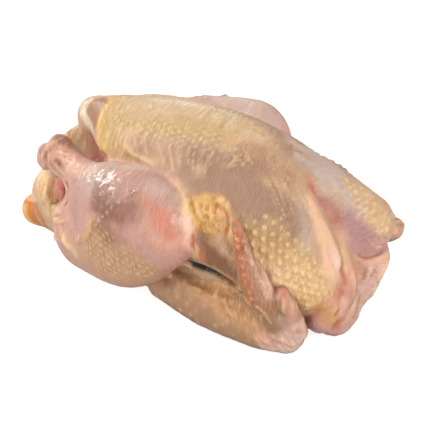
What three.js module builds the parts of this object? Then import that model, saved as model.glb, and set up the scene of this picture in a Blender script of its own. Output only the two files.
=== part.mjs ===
// A whole raw chicken lying on its back, breast up, with its legs folded towards the tail and its wings
// folded at its sides. Units are millimetres. +X runs towards the neck, +Y to the far side and +Z up from the
// table, and the origin is at the middle of the underside. The bird is one piece of meat and skin, so it is
// one solid: a field of blended limbs is surfaced on a grid and then thinned.
import * as THREE from 'three';
import { edgeTable, triTable } from 'three/addons/objects/MarchingCubes.js';

// ---- driving dimensions ---------------------------------------------------------------------------------

const GRID = 2.4;            // spacing of the sampling grid
const TRIANGLES = 10500;     // of the finished solid
const SPINE_STEPS = 4;       // straight pieces between two stations of a limb
const FLOOR = 0;             // the table that flattens the underside
const FLOOR_EDGE = 3;        // rounding where the flat underside ends
const LOW = [-140, -84, -5]; // the sampled box
const HIGH = [144, 88, 132];

// Breast: cross-sections along X. top is the keel, mid the height of the widest place, low its underside.
const BREAST = {
  roundTop: 2.05, // 2 is an ellipse, more is squarer
  roundLow: 2.3,
  caps: [15, 8],  // how far the rounded ends reach past the first and last section
  stations: [
    { x: -60, top: 117, mid: 104, low: 91, half: 13.5 },
    { x: -46.5, top: 121, mid: 88, low: 58, half: 31.5 },
    { x: -26.5, top: 125, mid: 77.5, low: 33.5, half: 44 },
    { x: 0, top: 125.5, mid: 68.5, low: 16, half: 51 },
    { x: 31, top: 122, mid: 63.5, low: 9, half: 55.5 },
    { x: 61.5, top: 112.5, mid: 58, low: 9, half: 56.5 },
    { x: 86, top: 98.5, mid: 53, low: 12.5, half: 51 },
    { x: 100.5, top: 83.5, mid: 49.5, low: 19.5, half: 40.5 },
    { x: 109, top: 68.5, mid: 46, low: 28, half: 23 },
  ],
};

// Limbs are chains of tapered oval sections. A row is a station: the centre x, y, z and the two
// half-thicknesses, the first of them in the direction of across. A limb melts over its own blend into the
// limbs listed before it, and the whole group then melts over its blend into the groups before it.
// The near side is -Y.
const UP = [0, 0, 1];
const SIDE = [0, 1, 0];
const LONG = [1, 0, 0];

const GROUPS = {
  back: { blend: 19.5, limbs: [
    { across: SIDE, rows: [
      [-77.5, 0, 26.5, 23, 22], [-44, 0, 28, 37, 30], [17.5, 0, 31.5, 44, 35.5], [72, 0, 31.5, 40.5, 34]] },
  ] },
  rump: { blend: 10.5, limbs: [
    { across: SIDE, rows: [[-53, 0, 40.5, 30, 35], [-81, 0, 37, 26.5, 31.5], [-97, -1, 32.5, 20.5, 25.5]] },
    { across: SIDE, blend: 7, rows: [
      [-95, 2.5, 21, 16.5, 13], [-109, 2, 18.5, 14.5, 13.5], [-119, 1, 16.5, 12, 12]] },
  ] },
  keelTip: { blend: 9, limbs: [
    { across: UP, rows: [[-53, -1, 105, 16, 13], [-66.5, -2, 108.5, 9.5, 8.5]] },
  ] },
  farRim: { blend: 5.5, limbs: [
    { across: UP, rows: [
      [-53, 21, 99, 8, 5.5], [-73, 23, 92.5, 11.5, 5.5], [-91.5, 24, 76, 11, 5.5],
      [-102, 19.5, 61.5, 10.5, 6], [-106.5, 7, 50, 8, 6]] },
    { across: UP, blend: 9, rows: [
      [-46, 26.5, 77.5, 19.5, 6], [-67, 24.5, 72, 17.5, 5.5], [-86, 22, 60, 14, 5.5]] },
  ] },
  nearLeg: { blend: 2.5, limbs: [
    { across: UP, rows: [
      [-51, -36, 42.5, 28.5, 24.5], [-19.5, -46, 52, 32.5, 26.5], [8, -49, 69, 25, 24.5]] },
    { across: UP, blend: 17.5, rows: [
      [-1, -49, 81.5, 22.5, 24.5], [-17.5, -48, 81.5, 23.5, 24], [-41, -41.5, 80.5, 17.5, 17.5],
      [-58, -35, 83, 11.5, 11.5], [-72, -30, 86.5, 10.5, 10.5]] },
    { across: UP, blend: 3, rows: [
      [-87, -25.5, 82, 7, 7.5], [-80.5, -27.5, 86, 10.5, 9], [-76.5, -27.5, 92, 8.5, 7.5]] },
    { across: UP, blend: 2.5, rows: [[-77.5, -27.5, 96.5, 6, 6], [-75, -27.5, 96, 6, 6]] },
    { across: UP, blend: 2.5, rows: [[-89.5, -24, 84.5, 7, 6], [-88, -28, 81.5, 7, 6]] },
  ] },
  farLeg: { blend: 3.5, limbs: [
    { across: UP, rows: [[-49.5, 36, 42, 29, 24], [-17.5, 46, 51, 33.5, 26.5], [19.5, 52, 68.5, 31, 25.5]] },
    { across: UP, blend: 17.5, rows: [
      [21, 54.5, 80, 27.5, 24.5], [-12.5, 49.5, 80, 25.5, 24], [-40.5, 42, 77.5, 18.5, 17.5],
      [-58, 35, 75.5, 12, 11.5], [-72, 31, 75, 10.5, 10.5]] },
    { across: UP, blend: 3, rows: [
      [-86, 27.5, 68, 7, 7.5], [-80.5, 28, 74, 10.5, 9], [-76.5, 28, 80, 8.5, 7.5]] },
    { across: UP, blend: 2.5, rows: [[-77.5, 28, 84.5, 6, 6], [-75, 28, 84, 6, 6]] },
    { across: UP, blend: 2.5, rows: [[-88.5, 26, 71, 7, 6], [-87, 30, 68, 7, 6]] },
  ] },
  nearWing: { blend: 2.5, limbs: [
    { across: UP, rows: [
      [86, -37, 40.5, 17.5, 16], [48.5, -44, 33.5, 13, 11.5], [12.5, -46.5, 28, 12.5, 10.5]] },
    { across: UP, blend: 2.5, rows: [
      [7, -46.5, 26.5, 11.5, 10.5], [35, -50, 21, 14, 10.5], [70.5, -51, 16.5, 14, 10.5],
      [91.5, -47.5, 13.5, 11, 10.5]] },
    { across: LONG, blend: 2.5, rows: [
      [92.5, -47.5, 16, 11.5, 9], [83.5, -57, 37, 12, 5.5], [72, -60, 61.5, 8, 4.5],
      [59.5, -53.5, 92, 2.5, 2.5]] },
    { across: LONG, blend: 2.5, rows: [[99, -50, 22, 7, 6], [98, -57, 40, 6, 4.5], [92, -59.5, 56, 2.5, 2.5]] },
  ] },
  farWing: { blend: 2.5, limbs: [
    { across: UP, rows: [
      [86, 37, 40.5, 17.5, 16], [48.5, 46, 33.5, 13, 11.5], [17.5, 50, 28, 12.5, 10.5]] },
    { across: UP, blend: 2.5, rows: [
      [12.5, 51, 26.5, 11.5, 10.5], [44, 55.5, 23, 14, 10.5], [88, 57, 28, 13, 9.5], [124, 53, 41.5, 7, 7]] },
    { across: LONG, blend: 2.5, rows: [
      [121.5, 53, 38.5, 8, 7], [100.5, 59, 47.5, 9.5, 5.5], [81, 59, 58, 8, 4.5],
      [65, 55.5, 68.5, 3.5, 2.5]] },
  ] },
  shoulders: { blend: 12.5, limbs: [
    { across: UP, rows: [[82.5, -30, 54.5, 28, 23], [95, -29, 46, 23, 16.5]] },
    { across: UP, blend: 0, rows: [[86, 28, 61, 28, 24], [112, 30, 54.5, 21, 18]] },
  ] },
};

// Hollows taken out of the meat, and what sinks in between the breast and the folded limbs
const HOLLOWS = {
  bodyCavity: { blend: 7, across: SIDE, rows: [
    [-109, 1.5, 86, 21, 12.5], [-81, 2, 72, 24, 22], [-53, 0, 67, 24.5, 23], [-13, 0, 58, 19.5, 19.5]] },
  nearSlit: { blend: 4, across: UP, rows: [
    [-66, -12, 86.5, 11, 8], [-52, -24, 91.5, 7.5, 6], [-41.5, -33, 96, 4, 4]] },
  vent: { blend: 3.5, across: UP, rows: [
    [-90, -21, 53.5, 11.5, 4.5], [-77.5, -17.5, 56.5, 12.5, 5.5], [-61.5, -9, 65, 12.5, 9]] },
  wishboneNotch: { blend: 8, across: UP, rows: [
    [93.5, 1, 104.5, 6, 7], [103, -2, 87, 9, 9], [113.5, -3, 67.5, 10.5, 10.5], [125, -2, 48, 10.5, 11.5]] },
  nearWingGap: { blend: 3.5, across: UP, rows: [
    [12.5, -48.5, 46, 5.5, 4.5], [39.5, -53, 41.5, 5.5, 4.5], [67, -54.5, 38, 4.5, 4.5]] },
  farWingGap: { blend: 3.5, across: UP, rows: [
    [17.5, 51, 46, 5.5, 4.5], [44, 56.5, 41.5, 5.5, 4.5], [70.5, 56.5, 40.5, 4.5, 4.5]] },
};

// Loose skin, fat and meat that hang in front of the hollows
const FLAPS = {
  neckRoot: { blend: 7, limbs: [
    { across: SIDE, rows: [[95, 2, 40.5, 23, 17.5], [104, -2, 28, 19.5, 13], [101, -9, 15, 15, 10.5]] },
    { across: UP, blend: 5.5, rows: [[104, -7, 54.5, 8, 7], [113.5, -14, 38.5, 9, 7], [111, -24, 23, 8, 7]] },
  ] },
  neckFlap: { blend: 3.5, limbs: [
    { across: LONG, rows: [
      [116, 21, 51, 11.5, 7], [121, 9, 43, 14, 6], [114, -7, 23.5, 12, 6], [110, -17, 11, 12, 6.5],
      [97, -25, 12, 7, 5.5]] },
  ] },
  neckFat: { blend: 2, limbs: [
    { across: UP, rows: [[111, -29, 31.5, 10.5, 8], [106.5, -30, 19.5, 9.5, 9]] },
  ] },
  ventMeat: { blend: 1.5, limbs: [
    { across: UP, rows: [[-80, -16, 64, 6, 4], [-83, -19, 54, 7, 4.5], [-80, -20, 46, 4, 4]] },
    { across: UP, blend: 1.5, rows: [[-90, -15, 50, 5, 4], [-91, -18, 44, 4, 4]] },
  ] },
};

// Creases pressed into the skin, each along a path that is first laid on the surface
const CREASES = {
  nearFront: { depth: 5, width: 7, path: [
    [109, -22, 66], [115, -25, 56.5], [116.5, -25, 46], [117, -26, 36], [116, -27, 26], [113, -27, 16]] },
};

// ---- field ----------------------------------------------------------------------------------------------

const FAR = 30;              // distances are told only up to this
const DEEPEST = 12;          // creases are felt this far from the skin
const TINY = 1e-6;           // keeps divisions safe
const SETTLE_STEPS = 8;      // to lay a point on the surface
const PROBE = 0.5;           // step that finds the field's slope
const LEAST_SLOPE = 0.05;    // squared, so that no step is wild

const sub = (a, b) => [a[0] - b[0], a[1] - b[1], a[2] - b[2]];
const dot = (a, b) => a[0] * b[0] + a[1] * b[1] + a[2] * b[2];
const clamp = (v, low, high) => Math.min(high, Math.max(low, v));

// Rounded union and rounded removal of two distances over a width k.
function join(a, b, k) {
  const h = Math.max(k - Math.abs(a - b), 0) / Math.max(k, TINY);
  return Math.min(a, b) - (h * h * k) / 4;
}
const carve = (a, b, k) => -join(-a, b, k);

// A limb's stations become short straight pieces along a smooth curve.
function pieces({ rows, across }) {
  const spline = (points) => new THREE.CatmullRomCurve3(points, false, 'catmullrom');
  const curve = spline(rows.map(([x, y, z]) => new THREE.Vector3(x, y, z)));
  const section = spline(rows.map((row) => new THREE.Vector3(row[3], row[4], 0)));
  const count = (rows.length - 1) * SPINE_STEPS;
  const nodes = Array.from({ length: count + 1 }, (_, i) => {
    const halves = section.getPoint(i / count);
    return { p: curve.getPoint(i / count).toArray(), wide: halves.x, thin: halves.y };
  });
  return nodes.slice(1).map((end, i) => {
    const start = nodes[i];
    const along = sub(end.p, start.p);
    const ahead = new THREE.Vector3(...along).normalize();
    const sideways = new THREE.Vector3(...across);
    const wideAxis = sideways.addScaledVector(ahead, -ahead.dot(sideways)).normalize();
    const thinAxis = new THREE.Vector3().crossVectors(ahead, wideAxis);
    const middle = start.p.map((v, axis) => (v + end.p[axis]) / 2);
    const reach = Math.hypot(...along) / 2 + Math.max(start.wide, end.wide, start.thin, end.thin);
    return { start, end, along, length2: dot(along, along), middle, reach,
      wideAxis: wideAxis.toArray(), thinAxis: thinAxis.toArray(), ahead: ahead.toArray() };
  });
}

// Where along a piece a point lies, from 0 at its start to 1 at its end, and how it lies from there.
function besidePiece(p, q) {
  const offset = sub(p, q.start.p);
  const t = clamp(dot(offset, q.along) / q.length2, 0, 1);
  return { t, away: [offset[0] - q.along[0] * t, offset[1] - q.along[1] * t, offset[2] - q.along[2] * t] };
}

// Distance to one tapered oval piece, from the scaled radius and its slope.
function pieceDistance(p, q) {
  const { t, away } = besidePiece(p, q);
  const wide = q.start.wide + (q.end.wide - q.start.wide) * t;
  const thin = q.start.thin + (q.end.thin - q.start.thin) * t;
  const round = Math.min(wide, thin);
  const a = dot(away, q.wideAxis) / wide;
  const b = dot(away, q.thinAxis) / thin;
  const c = dot(away, q.ahead) / round;
  const size = Math.sqrt(a * a + b * b + c * c);
  if (size < TINY) return -round;
  const [u, v, w] = [a / wide, b / thin, c / round];
  return (size * (size - 1)) / Math.sqrt(u * u + v * v + w * w);
}

function limbField(shape) {
  const parts = pieces(shape);
  return (p) => {
    let best = FAR;
    for (const q of parts) {
      const [x, y, z] = [p[0] - q.middle[0], p[1] - q.middle[1], p[2] - q.middle[2]];
      const gap = Math.sqrt(x * x + y * y + z * z) - q.reach;
      if (gap < best) best = Math.min(best, pieceDistance(p, q));
    }
    return best;
  };
}

// A smooth curve through values ys at places xs.
function smoothThrough(xs, ys) {
  const last = xs.length - 1;
  const slopes = xs.map((_, j) => {
    const [lo, hi] = [Math.max(j - 1, 0), Math.min(j + 1, last)];
    return (ys[hi] - ys[lo]) / (xs[hi] - xs[lo]);
  });
  return (x) => {
    let i = 0;
    while (i < last - 1 && x > xs[i + 1]) i += 1;
    const w = xs[i + 1] - xs[i];
    const t = (x - xs[i]) / w;
    return (2 * t ** 3 - 3 * t ** 2 + 1) * ys[i] + (t ** 3 - 2 * t ** 2 + t) * w * slopes[i]
      + (3 * t ** 2 - 2 * t ** 3) * ys[i + 1] + (t ** 3 - t ** 2) * w * slopes[i + 1];
  };
}

// The breast's sections, with a rounded cap at each end.
function loftField({ stations, roundTop, roundLow, caps }) {
  const xs = stations.map((s) => s.x);
  const curve = (key) => smoothThrough(xs, stations.map((s) => s[key]));
  const [top, mid, low, half] = ['top', 'mid', 'low', 'half'].map(curve);
  return (p) => {
    const x = clamp(p[0], xs[0], xs[xs.length - 1]);
    const m = mid(x);
    const up = p[2] > m;
    const tall = up ? top(x) - m : m - low(x);
    const wide = half(x);
    const power = up ? roundTop : roundLow;
    const cap = p[0] < x ? caps[0] : caps[1];
    const a = Math.abs(p[1]) / wide;
    const b = Math.abs(p[2] - m) / tall;
    const c = Math.abs(p[0] - x) / cap;
    const size = (a ** power + b ** power + c ** power) ** (1 / power);
    if (size < TINY) return -cap;
    const steep = Math.hypot(a ** (power - 1) / wide, b ** (power - 1) / tall, c ** (power - 1) / cap);
    return Math.max((size - 1) * size ** (power - 1) / steep, -cap);
  };
}

const withField = (limb) => ({ ...limb, field: limbField(limb) });
const withFields = (group) => ({ ...group, limbs: group.limbs.map(withField) });
const breast = loftField(BREAST);
const groups = Object.values(GROUPS).map(withFields);
const flaps = Object.values(FLAPS).map(withFields);
const hollows = Object.values(HOLLOWS).map(withField);

// The limbs of a group melt into each other first.
function groupField({ limbs }, p) {
  let d = limbs[0].field(p);
  for (const limb of limbs.slice(1)) d = join(d, limb.field(p), limb.blend);
  return d;
}

// The bird without its creases
function body(p) {
  let d = breast(p);
  for (const group of groups) d = join(d, groupField(group, p), group.blend);
  for (const hollow of hollows) d = carve(d, hollow.field(p), hollow.blend);
  for (const flap of flaps) d = join(d, groupField(flap, p), flap.blend);
  return d;
}

// Moves a point onto the surface, by steps along the field's slope.
function settle(point) {
  const p = [...point];
  for (let n = 0; n < SETTLE_STEPS; n += 1) {
    const d = body(p);
    const probes = [0, 1, 2].map((axis) => p.map((v, other) => v + (axis === other ? PROBE : 0)));
    const slope = probes.map((probe) => (body(probe) - d) / PROBE);
    const steep = Math.max(dot(slope, slope), LEAST_SLOPE);
    for (let axis = 0; axis < 3; axis += 1) p[axis] -= (d * slope[axis]) / steep;
  }
  return p;
}

const creases = Object.values(CREASES).map((crease) => {
  const parts = pieces({ rows: crease.path.map((p) => [...settle(p), 1, 1]), across: UP });
  return { ...crease, parts };
});

// How far a crease sinks the skin at a point: deepest on its path, in a V with hollow sides.
function sink({ parts, depth, width }, p) {
  const nearest = parts.reduce((best, q) => Math.min(best, Math.hypot(...besidePiece(p, q).away)), width);
  return depth * (1 - nearest / width) ** 2;
}

// Negative inside the bird.
function bird(p) {
  let d = body(p);
  if (Math.abs(d) < DEEPEST) for (const crease of creases) d += sink(crease, p);
  return carve(d, p[2] - FLOOR, FLOOR_EDGE);
}

// ---- surface --------------------------------------------------------------------------------------------

const BLOCK = 5;             // grid steps in a block, sampled once where the surface is far from it
const BLOCK_REACH = 1.6;     // a block is far when the surface is more of its lengths away than this
const NEAREST_CORNER = 0.02; // share of a grid step that a vertex keeps from the grid's corners
const NOT_ZERO = 1e-9;       // stands for a value of exactly 0
const CORNERS = [[0, 0, 0], [1, 0, 0], [1, 1, 0], [0, 1, 0], [0, 0, 1], [1, 0, 1], [1, 1, 1], [0, 1, 1]];
const EDGES = [[0, 1], [1, 2], [2, 3], [3, 0], [4, 5], [5, 6], [6, 7], [7, 4], [0, 4], [1, 5], [2, 6], [3, 7]];

// Calls visit(i, j, k) all over a box of whole numbers, in steps.
function everyCell(from, to, step, visit) {
  for (let k = from[2]; k < to[2]; k += step) {
    for (let j = from[1]; j < to[1]; j += step) {
      for (let i = from[0]; i < to[0]; i += step) visit(i, j, k);
    }
  }
}

// Marching cubes over a box, with shared vertices.
function surface(field, low, high, step) {
  const size = [0, 1, 2].map((axis) => Math.ceil((high[axis] - low[axis]) / step) + 1);
  const index = (i, j, k) => i + size[0] * (j + size[1] * k);
  const place = (i, j, k) => [low[0] + i * step, low[1] + j * step, low[2] + k * step];
  const values = new Float64Array(size[0] * size[1] * size[2]);
  everyCell([0, 0, 0], size, BLOCK, (...corner) => {
    const middle = field(place(...corner.map((v) => v + BLOCK / 2)));
    const near = Math.abs(middle) < BLOCK * step * BLOCK_REACH;
    const end = corner.map((v, axis) => Math.min(v + BLOCK, size[axis]));
    everyCell(corner, end, 1, (i, j, k) => {
      values[index(i, j, k)] = near ? field(place(i, j, k)) || NOT_ZERO : middle;
    });
  });
  const vertices = [];
  const triangles = [];
  const known = new Map();
  const vertexBetween = (p, q) => {
    const [ip, iq] = [index(...p), index(...q)];
    const direction = p.findIndex((v, axis) => v !== q[axis]);
    const key = Math.min(ip, iq) * 3 + direction;
    if (!known.has(key)) {
      const t = clamp(values[ip] / (values[ip] - values[iq]), NEAREST_CORNER, 1 - NEAREST_CORNER);
      const [a, b] = [place(...p), place(...q)];
      known.set(key, vertices.push(a.map((v, axis) => v + (b[axis] - v) * t)) - 1);
    }
    return known.get(key);
  };
  everyCell([0, 0, 0], size.map((n) => n - 1), 1, (i, j, k) => {
    const corners = CORNERS.map(([a, b, c]) => [i + a, j + b, k + c]);
    const bits = corners.reduce((sum, corner, n) => sum | ((values[index(...corner)] < 0) << n), 0);
    if (!edgeTable[bits]) return;
    const isCut = (edge) => edgeTable[bits] & (1 << edge);
    const at = EDGES.map(([m, n], edge) => (isCut(edge) ? vertexBetween(corners[m], corners[n]) : -1));
    for (let t = bits * 16; triTable[t] !== -1; t += 3) {
      triangles.push([at[triTable[t]], at[triTable[t + 2]], at[triTable[t + 1]]]);
    }
  });
  return { vertices, triangles };
}

// ---- thinning -------------------------------------------------------------------------------------------

const PARALLEL = 1e-4;       // below this share, the planes round an edge count as parallel
const LEAST_TURN = 0.2;      // cosine of the most that a facet may turn when an edge closes
const FARTHEST = 1.5;        // edge lengths that the best point may lie from the edge's middle
const SHORTEST_FIRST = 1e-3; // favours short edges where the surface is equally flat
const cross = (a, b) => [a[1] * b[2] - a[2] * b[1], a[2] * b[0] - a[0] * b[2], a[0] * b[1] - a[1] * b[0]];
const faceNormal = (a, b, c) => cross(sub(b, a), sub(c, a));

// The squared distance to a face's plane, as the ten terms of a symmetric 4 x 4 matrix.
function planeTerms(a, b, c) {
  const n = faceNormal(a, b, c);
  const area = Math.max(Math.hypot(...n), TINY);
  const [x, y, z] = n.map((v) => v / area);
  const w = -dot([x, y, z], a);
  return [x * x, x * y, x * z, x * w, y * y, y * z, y * w, z * z, z * w, w * w].map((v) => v * area);
}

function planeError(q, [x, y, z]) {
  return q[0] * x * x + q[4] * y * y + q[7] * z * z + q[9]
    + 2 * (q[1] * x * y + q[2] * x * z + q[3] * x + q[5] * y * z + q[6] * y + q[8] * z);
}

// The point with the least error, or the best of the edge's ends and middle where the planes are nearly
// parallel.
function bestPoint(q, a, b) {
  const [row0, row1, row2] = [[q[0], q[1], q[2]], [q[1], q[4], q[5]], [q[2], q[5], q[7]]];
  const det = dot(row0, cross(row1, row2));
  const scale = (q[0] + q[4] + q[7]) ** 3;
  const middle = a.map((v, axis) => (v + b[axis]) / 2);
  const choices = [a, b, middle];
  if (Math.abs(det) > PARALLEL * scale) {
    const [r0, r1, r2] = [cross(row1, row2), cross(row2, row0), cross(row0, row1)];
    const best = [0, 1, 2].map((axis) => -(q[3] * r0[axis] + q[6] * r1[axis] + q[8] * r2[axis]) / det);
    if (Math.hypot(...sub(best, middle)) < Math.hypot(...sub(a, b)) * FARTHEST) choices.push(best);
  }
  return choices.map((p) => ({ p, error: planeError(q, p) })).reduce((m, c) => (c.error < m.error ? c : m));
}

// A heap that gives back the cheapest entry first.
class Heap {
  items = [];

  push(item) {
    const list = this.items;
    let i = list.push(item) - 1;
    while (i > 0 && list[(i - 1) >> 1].cost > list[i].cost) {
      const up = (i - 1) >> 1;
      [list[i], list[up]] = [list[up], list[i]];
      i = up;
    }
  }

  pop() {
    const list = this.items;
    const first = list[0];
    const last = list.pop();
    if (!list.length) return first;
    list[0] = last;
    let i = 0;
    for (let down = 1; down < list.length; down = 2 * i + 1) {
      if (down + 1 < list.length && list[down + 1].cost < list[down].cost) down += 1;
      if (list[down].cost >= list[i].cost) break;
      [list[i], list[down]] = [list[down], list[i]];
      i = down;
    }
    return first;
  }
}

// Closes the edge whose loss changes the surface least, again and again, and keeps the surface closed.
function thin({ vertices, triangles }, target) {
  const points = vertices.map((p) => [...p]);
  const faces = triangles.map((face) => [...face]);
  const around = points.map(() => new Set());
  const terms = points.map(() => new Array(10).fill(0));
  faces.forEach((face, f) => {
    const plane = planeTerms(...face.map((v) => points[v]));
    for (const v of face) {
      around[v].add(f);
      plane.forEach((value, n) => { terms[v][n] += value; });
    }
  });
  const stamp = new Int32Array(points.length);
  const heap = new Heap();
  const neighbours = (v) => new Set([...around[v]].flatMap((f) => faces[f]).filter((other) => other !== v));
  const offer = (i, j) => {
    const sum = terms[i].map((v, n) => v + terms[j][n]);
    const { p, error } = bestPoint(sum, points[i], points[j]);
    const edge = sub(points[i], points[j]);
    heap.push({ cost: error + SHORTEST_FIRST * dot(edge, edge), i, j, p, stamps: stamp[i] + stamp[j] });
  };
  const turnsOver = (v, other, p) => [...around[v]].some((f) => {
    if (faces[f].includes(other)) return false;
    const before = faceNormal(...faces[f].map((n) => points[n]));
    const after = faceNormal(...faces[f].map((n) => (n === v ? p : points[n])));
    return dot(before, after) < LEAST_TURN * Math.hypot(...before) * Math.hypot(...after);
  });
  points.forEach((_, v) => {
    for (const n of neighbours(v)) if (v < n) offer(v, n);
  });
  let left = faces.length;
  while (left > target && heap.items.length) {
    const { i, j, p, stamps } = heap.pop();
    if (!around[i].size || !around[j].size || stamps !== stamp[i] + stamp[j]) continue;
    const besideJ = neighbours(j);
    const shared = [...neighbours(i)].filter((n) => besideJ.has(n));
    if (shared.length !== 2 || turnsOver(i, j, p) || turnsOver(j, i, p)) continue;
    for (const f of [...around[j]]) {
      if (faces[f].includes(i)) {
        for (const v of faces[f]) around[v].delete(f);
        left -= 1;
      } else {
        faces[f] = faces[f].map((v) => (v === j ? i : v));
        around[i].add(f);
      }
    }
    around[j].clear();
    points[i] = p;
    terms[i] = terms[i].map((v, n) => v + terms[j][n]);
    const beside = neighbours(i);
    for (const n of [i, ...beside]) stamp[n] += 1;
    for (const n of beside) {
      for (const m of neighbours(n)) if (n < m || m === i) offer(n, m);
    }
  }
  const kept = new Map();
  const faceList = faces.filter((face, f) => around[face[0]].has(f));
  for (const v of faceList.flat()) if (!kept.has(v)) kept.set(v, kept.size);
  return {
    vertices: [...kept.keys()].map((v) => points[v]),
    triangles: faceList.map((face) => face.map((v) => kept.get(v))),
  };
}

// ---- model ----------------------------------------------------------------------------------------------

function geometryOf({ vertices, triangles }) {
  const geometry = new THREE.BufferGeometry();
  geometry.setAttribute('position', new THREE.BufferAttribute(new Float32Array(vertices.flat()), 3));
  geometry.setIndex(triangles.flat());
  geometry.computeBoundingBox();
  const { min, max } = geometry.boundingBox;
  geometry.translate(-(min.x + max.x) / 2, -(min.y + max.y) / 2, -min.z);
  geometry.computeVertexNormals();
  return geometry;
}

const skin = new THREE.MeshStandardMaterial({ color: 0xd9b08c, roughness: 0.45, metalness: 0 });
const chicken = new THREE.Mesh(geometryOf(thin(surface(bird, LOW, HIGH, GRID), TRIANGLES)), skin);
chicken.name = 'chicken';
const group = new THREE.Group();
group.add(chicken);
export default group;
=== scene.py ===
"""A whole raw chicken lying on its back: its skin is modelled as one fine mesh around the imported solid.

The bird's form is a field of blended limbs, in the same sizes as the solid. Here it is surfaced on a finer
grid, folds, wrinkles and feather follicles are raised on it, and its colours are laid on as soft patches that
a node material mixes. Lengths are millimetres until a mesh is made, and metres from there on.
"""
import logging
import math
from collections.abc import Callable
from dataclasses import dataclass, field, replace
from enum import Enum
from typing import ClassVar

import bpy
import numpy as np
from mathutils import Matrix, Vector


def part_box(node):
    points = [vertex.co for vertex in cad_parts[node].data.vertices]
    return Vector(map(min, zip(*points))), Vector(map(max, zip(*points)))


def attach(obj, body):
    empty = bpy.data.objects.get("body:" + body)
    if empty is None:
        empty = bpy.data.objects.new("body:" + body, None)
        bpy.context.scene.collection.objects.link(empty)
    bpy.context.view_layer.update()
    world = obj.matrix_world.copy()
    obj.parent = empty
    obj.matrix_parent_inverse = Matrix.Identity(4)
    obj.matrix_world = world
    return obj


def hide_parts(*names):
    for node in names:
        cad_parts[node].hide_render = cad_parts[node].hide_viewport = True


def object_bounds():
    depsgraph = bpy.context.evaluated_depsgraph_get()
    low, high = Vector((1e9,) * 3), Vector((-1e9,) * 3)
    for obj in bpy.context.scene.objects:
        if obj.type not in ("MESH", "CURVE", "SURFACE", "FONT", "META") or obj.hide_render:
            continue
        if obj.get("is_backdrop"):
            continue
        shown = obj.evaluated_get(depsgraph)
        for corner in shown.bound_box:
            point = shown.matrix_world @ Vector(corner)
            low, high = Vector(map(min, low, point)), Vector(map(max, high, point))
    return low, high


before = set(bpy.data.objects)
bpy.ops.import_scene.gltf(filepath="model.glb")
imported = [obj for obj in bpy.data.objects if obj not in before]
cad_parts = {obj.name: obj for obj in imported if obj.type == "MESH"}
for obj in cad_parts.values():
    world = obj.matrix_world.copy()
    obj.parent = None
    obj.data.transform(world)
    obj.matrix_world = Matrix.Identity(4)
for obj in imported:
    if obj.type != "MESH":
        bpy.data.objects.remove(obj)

LOG = logging.getLogger("chicken")
METRE = 1000.0             # millimetres in a metre
TINY = 1e-6                # keeps divisions safe

Array = np.ndarray
Row = tuple[float, ...]
Point = tuple[float, float, float]
Distance = Callable[[Array], Array]


class Facing(Enum):
    """The direction in which a limb's first half-thickness is measured."""

    UP = (0.0, 0.0, 1.0)
    SIDE = (0.0, 1.0, 0.0)
    LONG = (1.0, 0.0, 0.0)


# ---- curves, sums and noise ------------------------------------------------------------------------


def smooth_through(knots: Array, values: Array, at: Array) -> Array:
    """A smooth curve through values, one row for each knot.

    Args:
        knots: increasing places along the curve.
        values: one row of numbers for each knot.
        at: the places to read.

    Returns:
        One row of numbers for each place.
    """
    last = len(knots) - 1
    before = np.maximum(np.arange(last + 1) - 1, 0)
    after = np.minimum(np.arange(last + 1) + 1, last)
    slopes = (values[after] - values[before]) / (knots[after] - knots[before])[:, None]
    i = np.clip(np.searchsorted(knots, at, side="left") - 1, 0, last - 1)
    width = knots[i + 1] - knots[i]
    t = ((at - knots[i]) / width)[:, None]
    width = width[:, None]
    return (
        (2 * t**3 - 3 * t**2 + 1) * values[i]
        + (t**3 - 2 * t**2 + t) * width * slopes[i]
        + (3 * t**2 - 2 * t**3) * values[i + 1]
        + (t**3 - t**2) * width * slopes[i + 1]
    )


def ease(low: float, high: float, value: Array) -> Array:
    """A smooth step from 0 at low to 1 at high, which may also be given the other way round."""
    t = np.clip((value - low) / (high - low), 0.0, 1.0)
    return t * t * (3.0 - 2.0 * t)


def join(a: Array, b: Array, k: float) -> Array:
    """The rounded union of two distances, over a width k."""
    h = np.maximum(k - np.abs(a - b), 0.0) / max(k, TINY)
    return np.minimum(a, b) - h * h * k / 4.0


def carve(a: Array, b: Array, k: float) -> Array:
    """The rounded removal of b from a, over a width k."""
    return -join(-a, b, k)


def other_side(path: tuple[Row, ...]) -> tuple[Row, ...]:
    """A path mirrored to the bird's other side; what follows x, y and z in a row stays."""
    return tuple((x, -y, *rest) for x, y, *rest in path)


def summed(index: Array, rows: Array, count: int) -> Array:
    """The sum of all the rows that share an index, for each index up to the count."""
    return np.stack([np.bincount(index, column, count) for column in rows.T], axis=1)


def step_off(distance: Distance, points: Array, probe: float, flattest: float) -> Array:
    """How points lie off a field's surface, by one step along the field's slope.

    Args:
        distance: the field, negative inside.
        points: rows of three.
        probe: the length over which the slope is measured.
        flattest: the least square of the slope that the step is worked out with.

    Returns:
        The step from the surface to each point.
    """
    value = distance(points)
    slope = np.stack([(distance(points + probe * axis) - value) / probe for axis in np.eye(3)], axis=1)
    steep = np.maximum((slope**2).sum(axis=1), flattest)
    return (value / steep)[:, None] * slope


@dataclass(frozen=True)
class Grain:
    """One size of noise: how large its lumps are, how strong it is, and how far its place is moved."""

    size: float | Row
    strength: float = 1.0
    offset: float = 0.0


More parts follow.
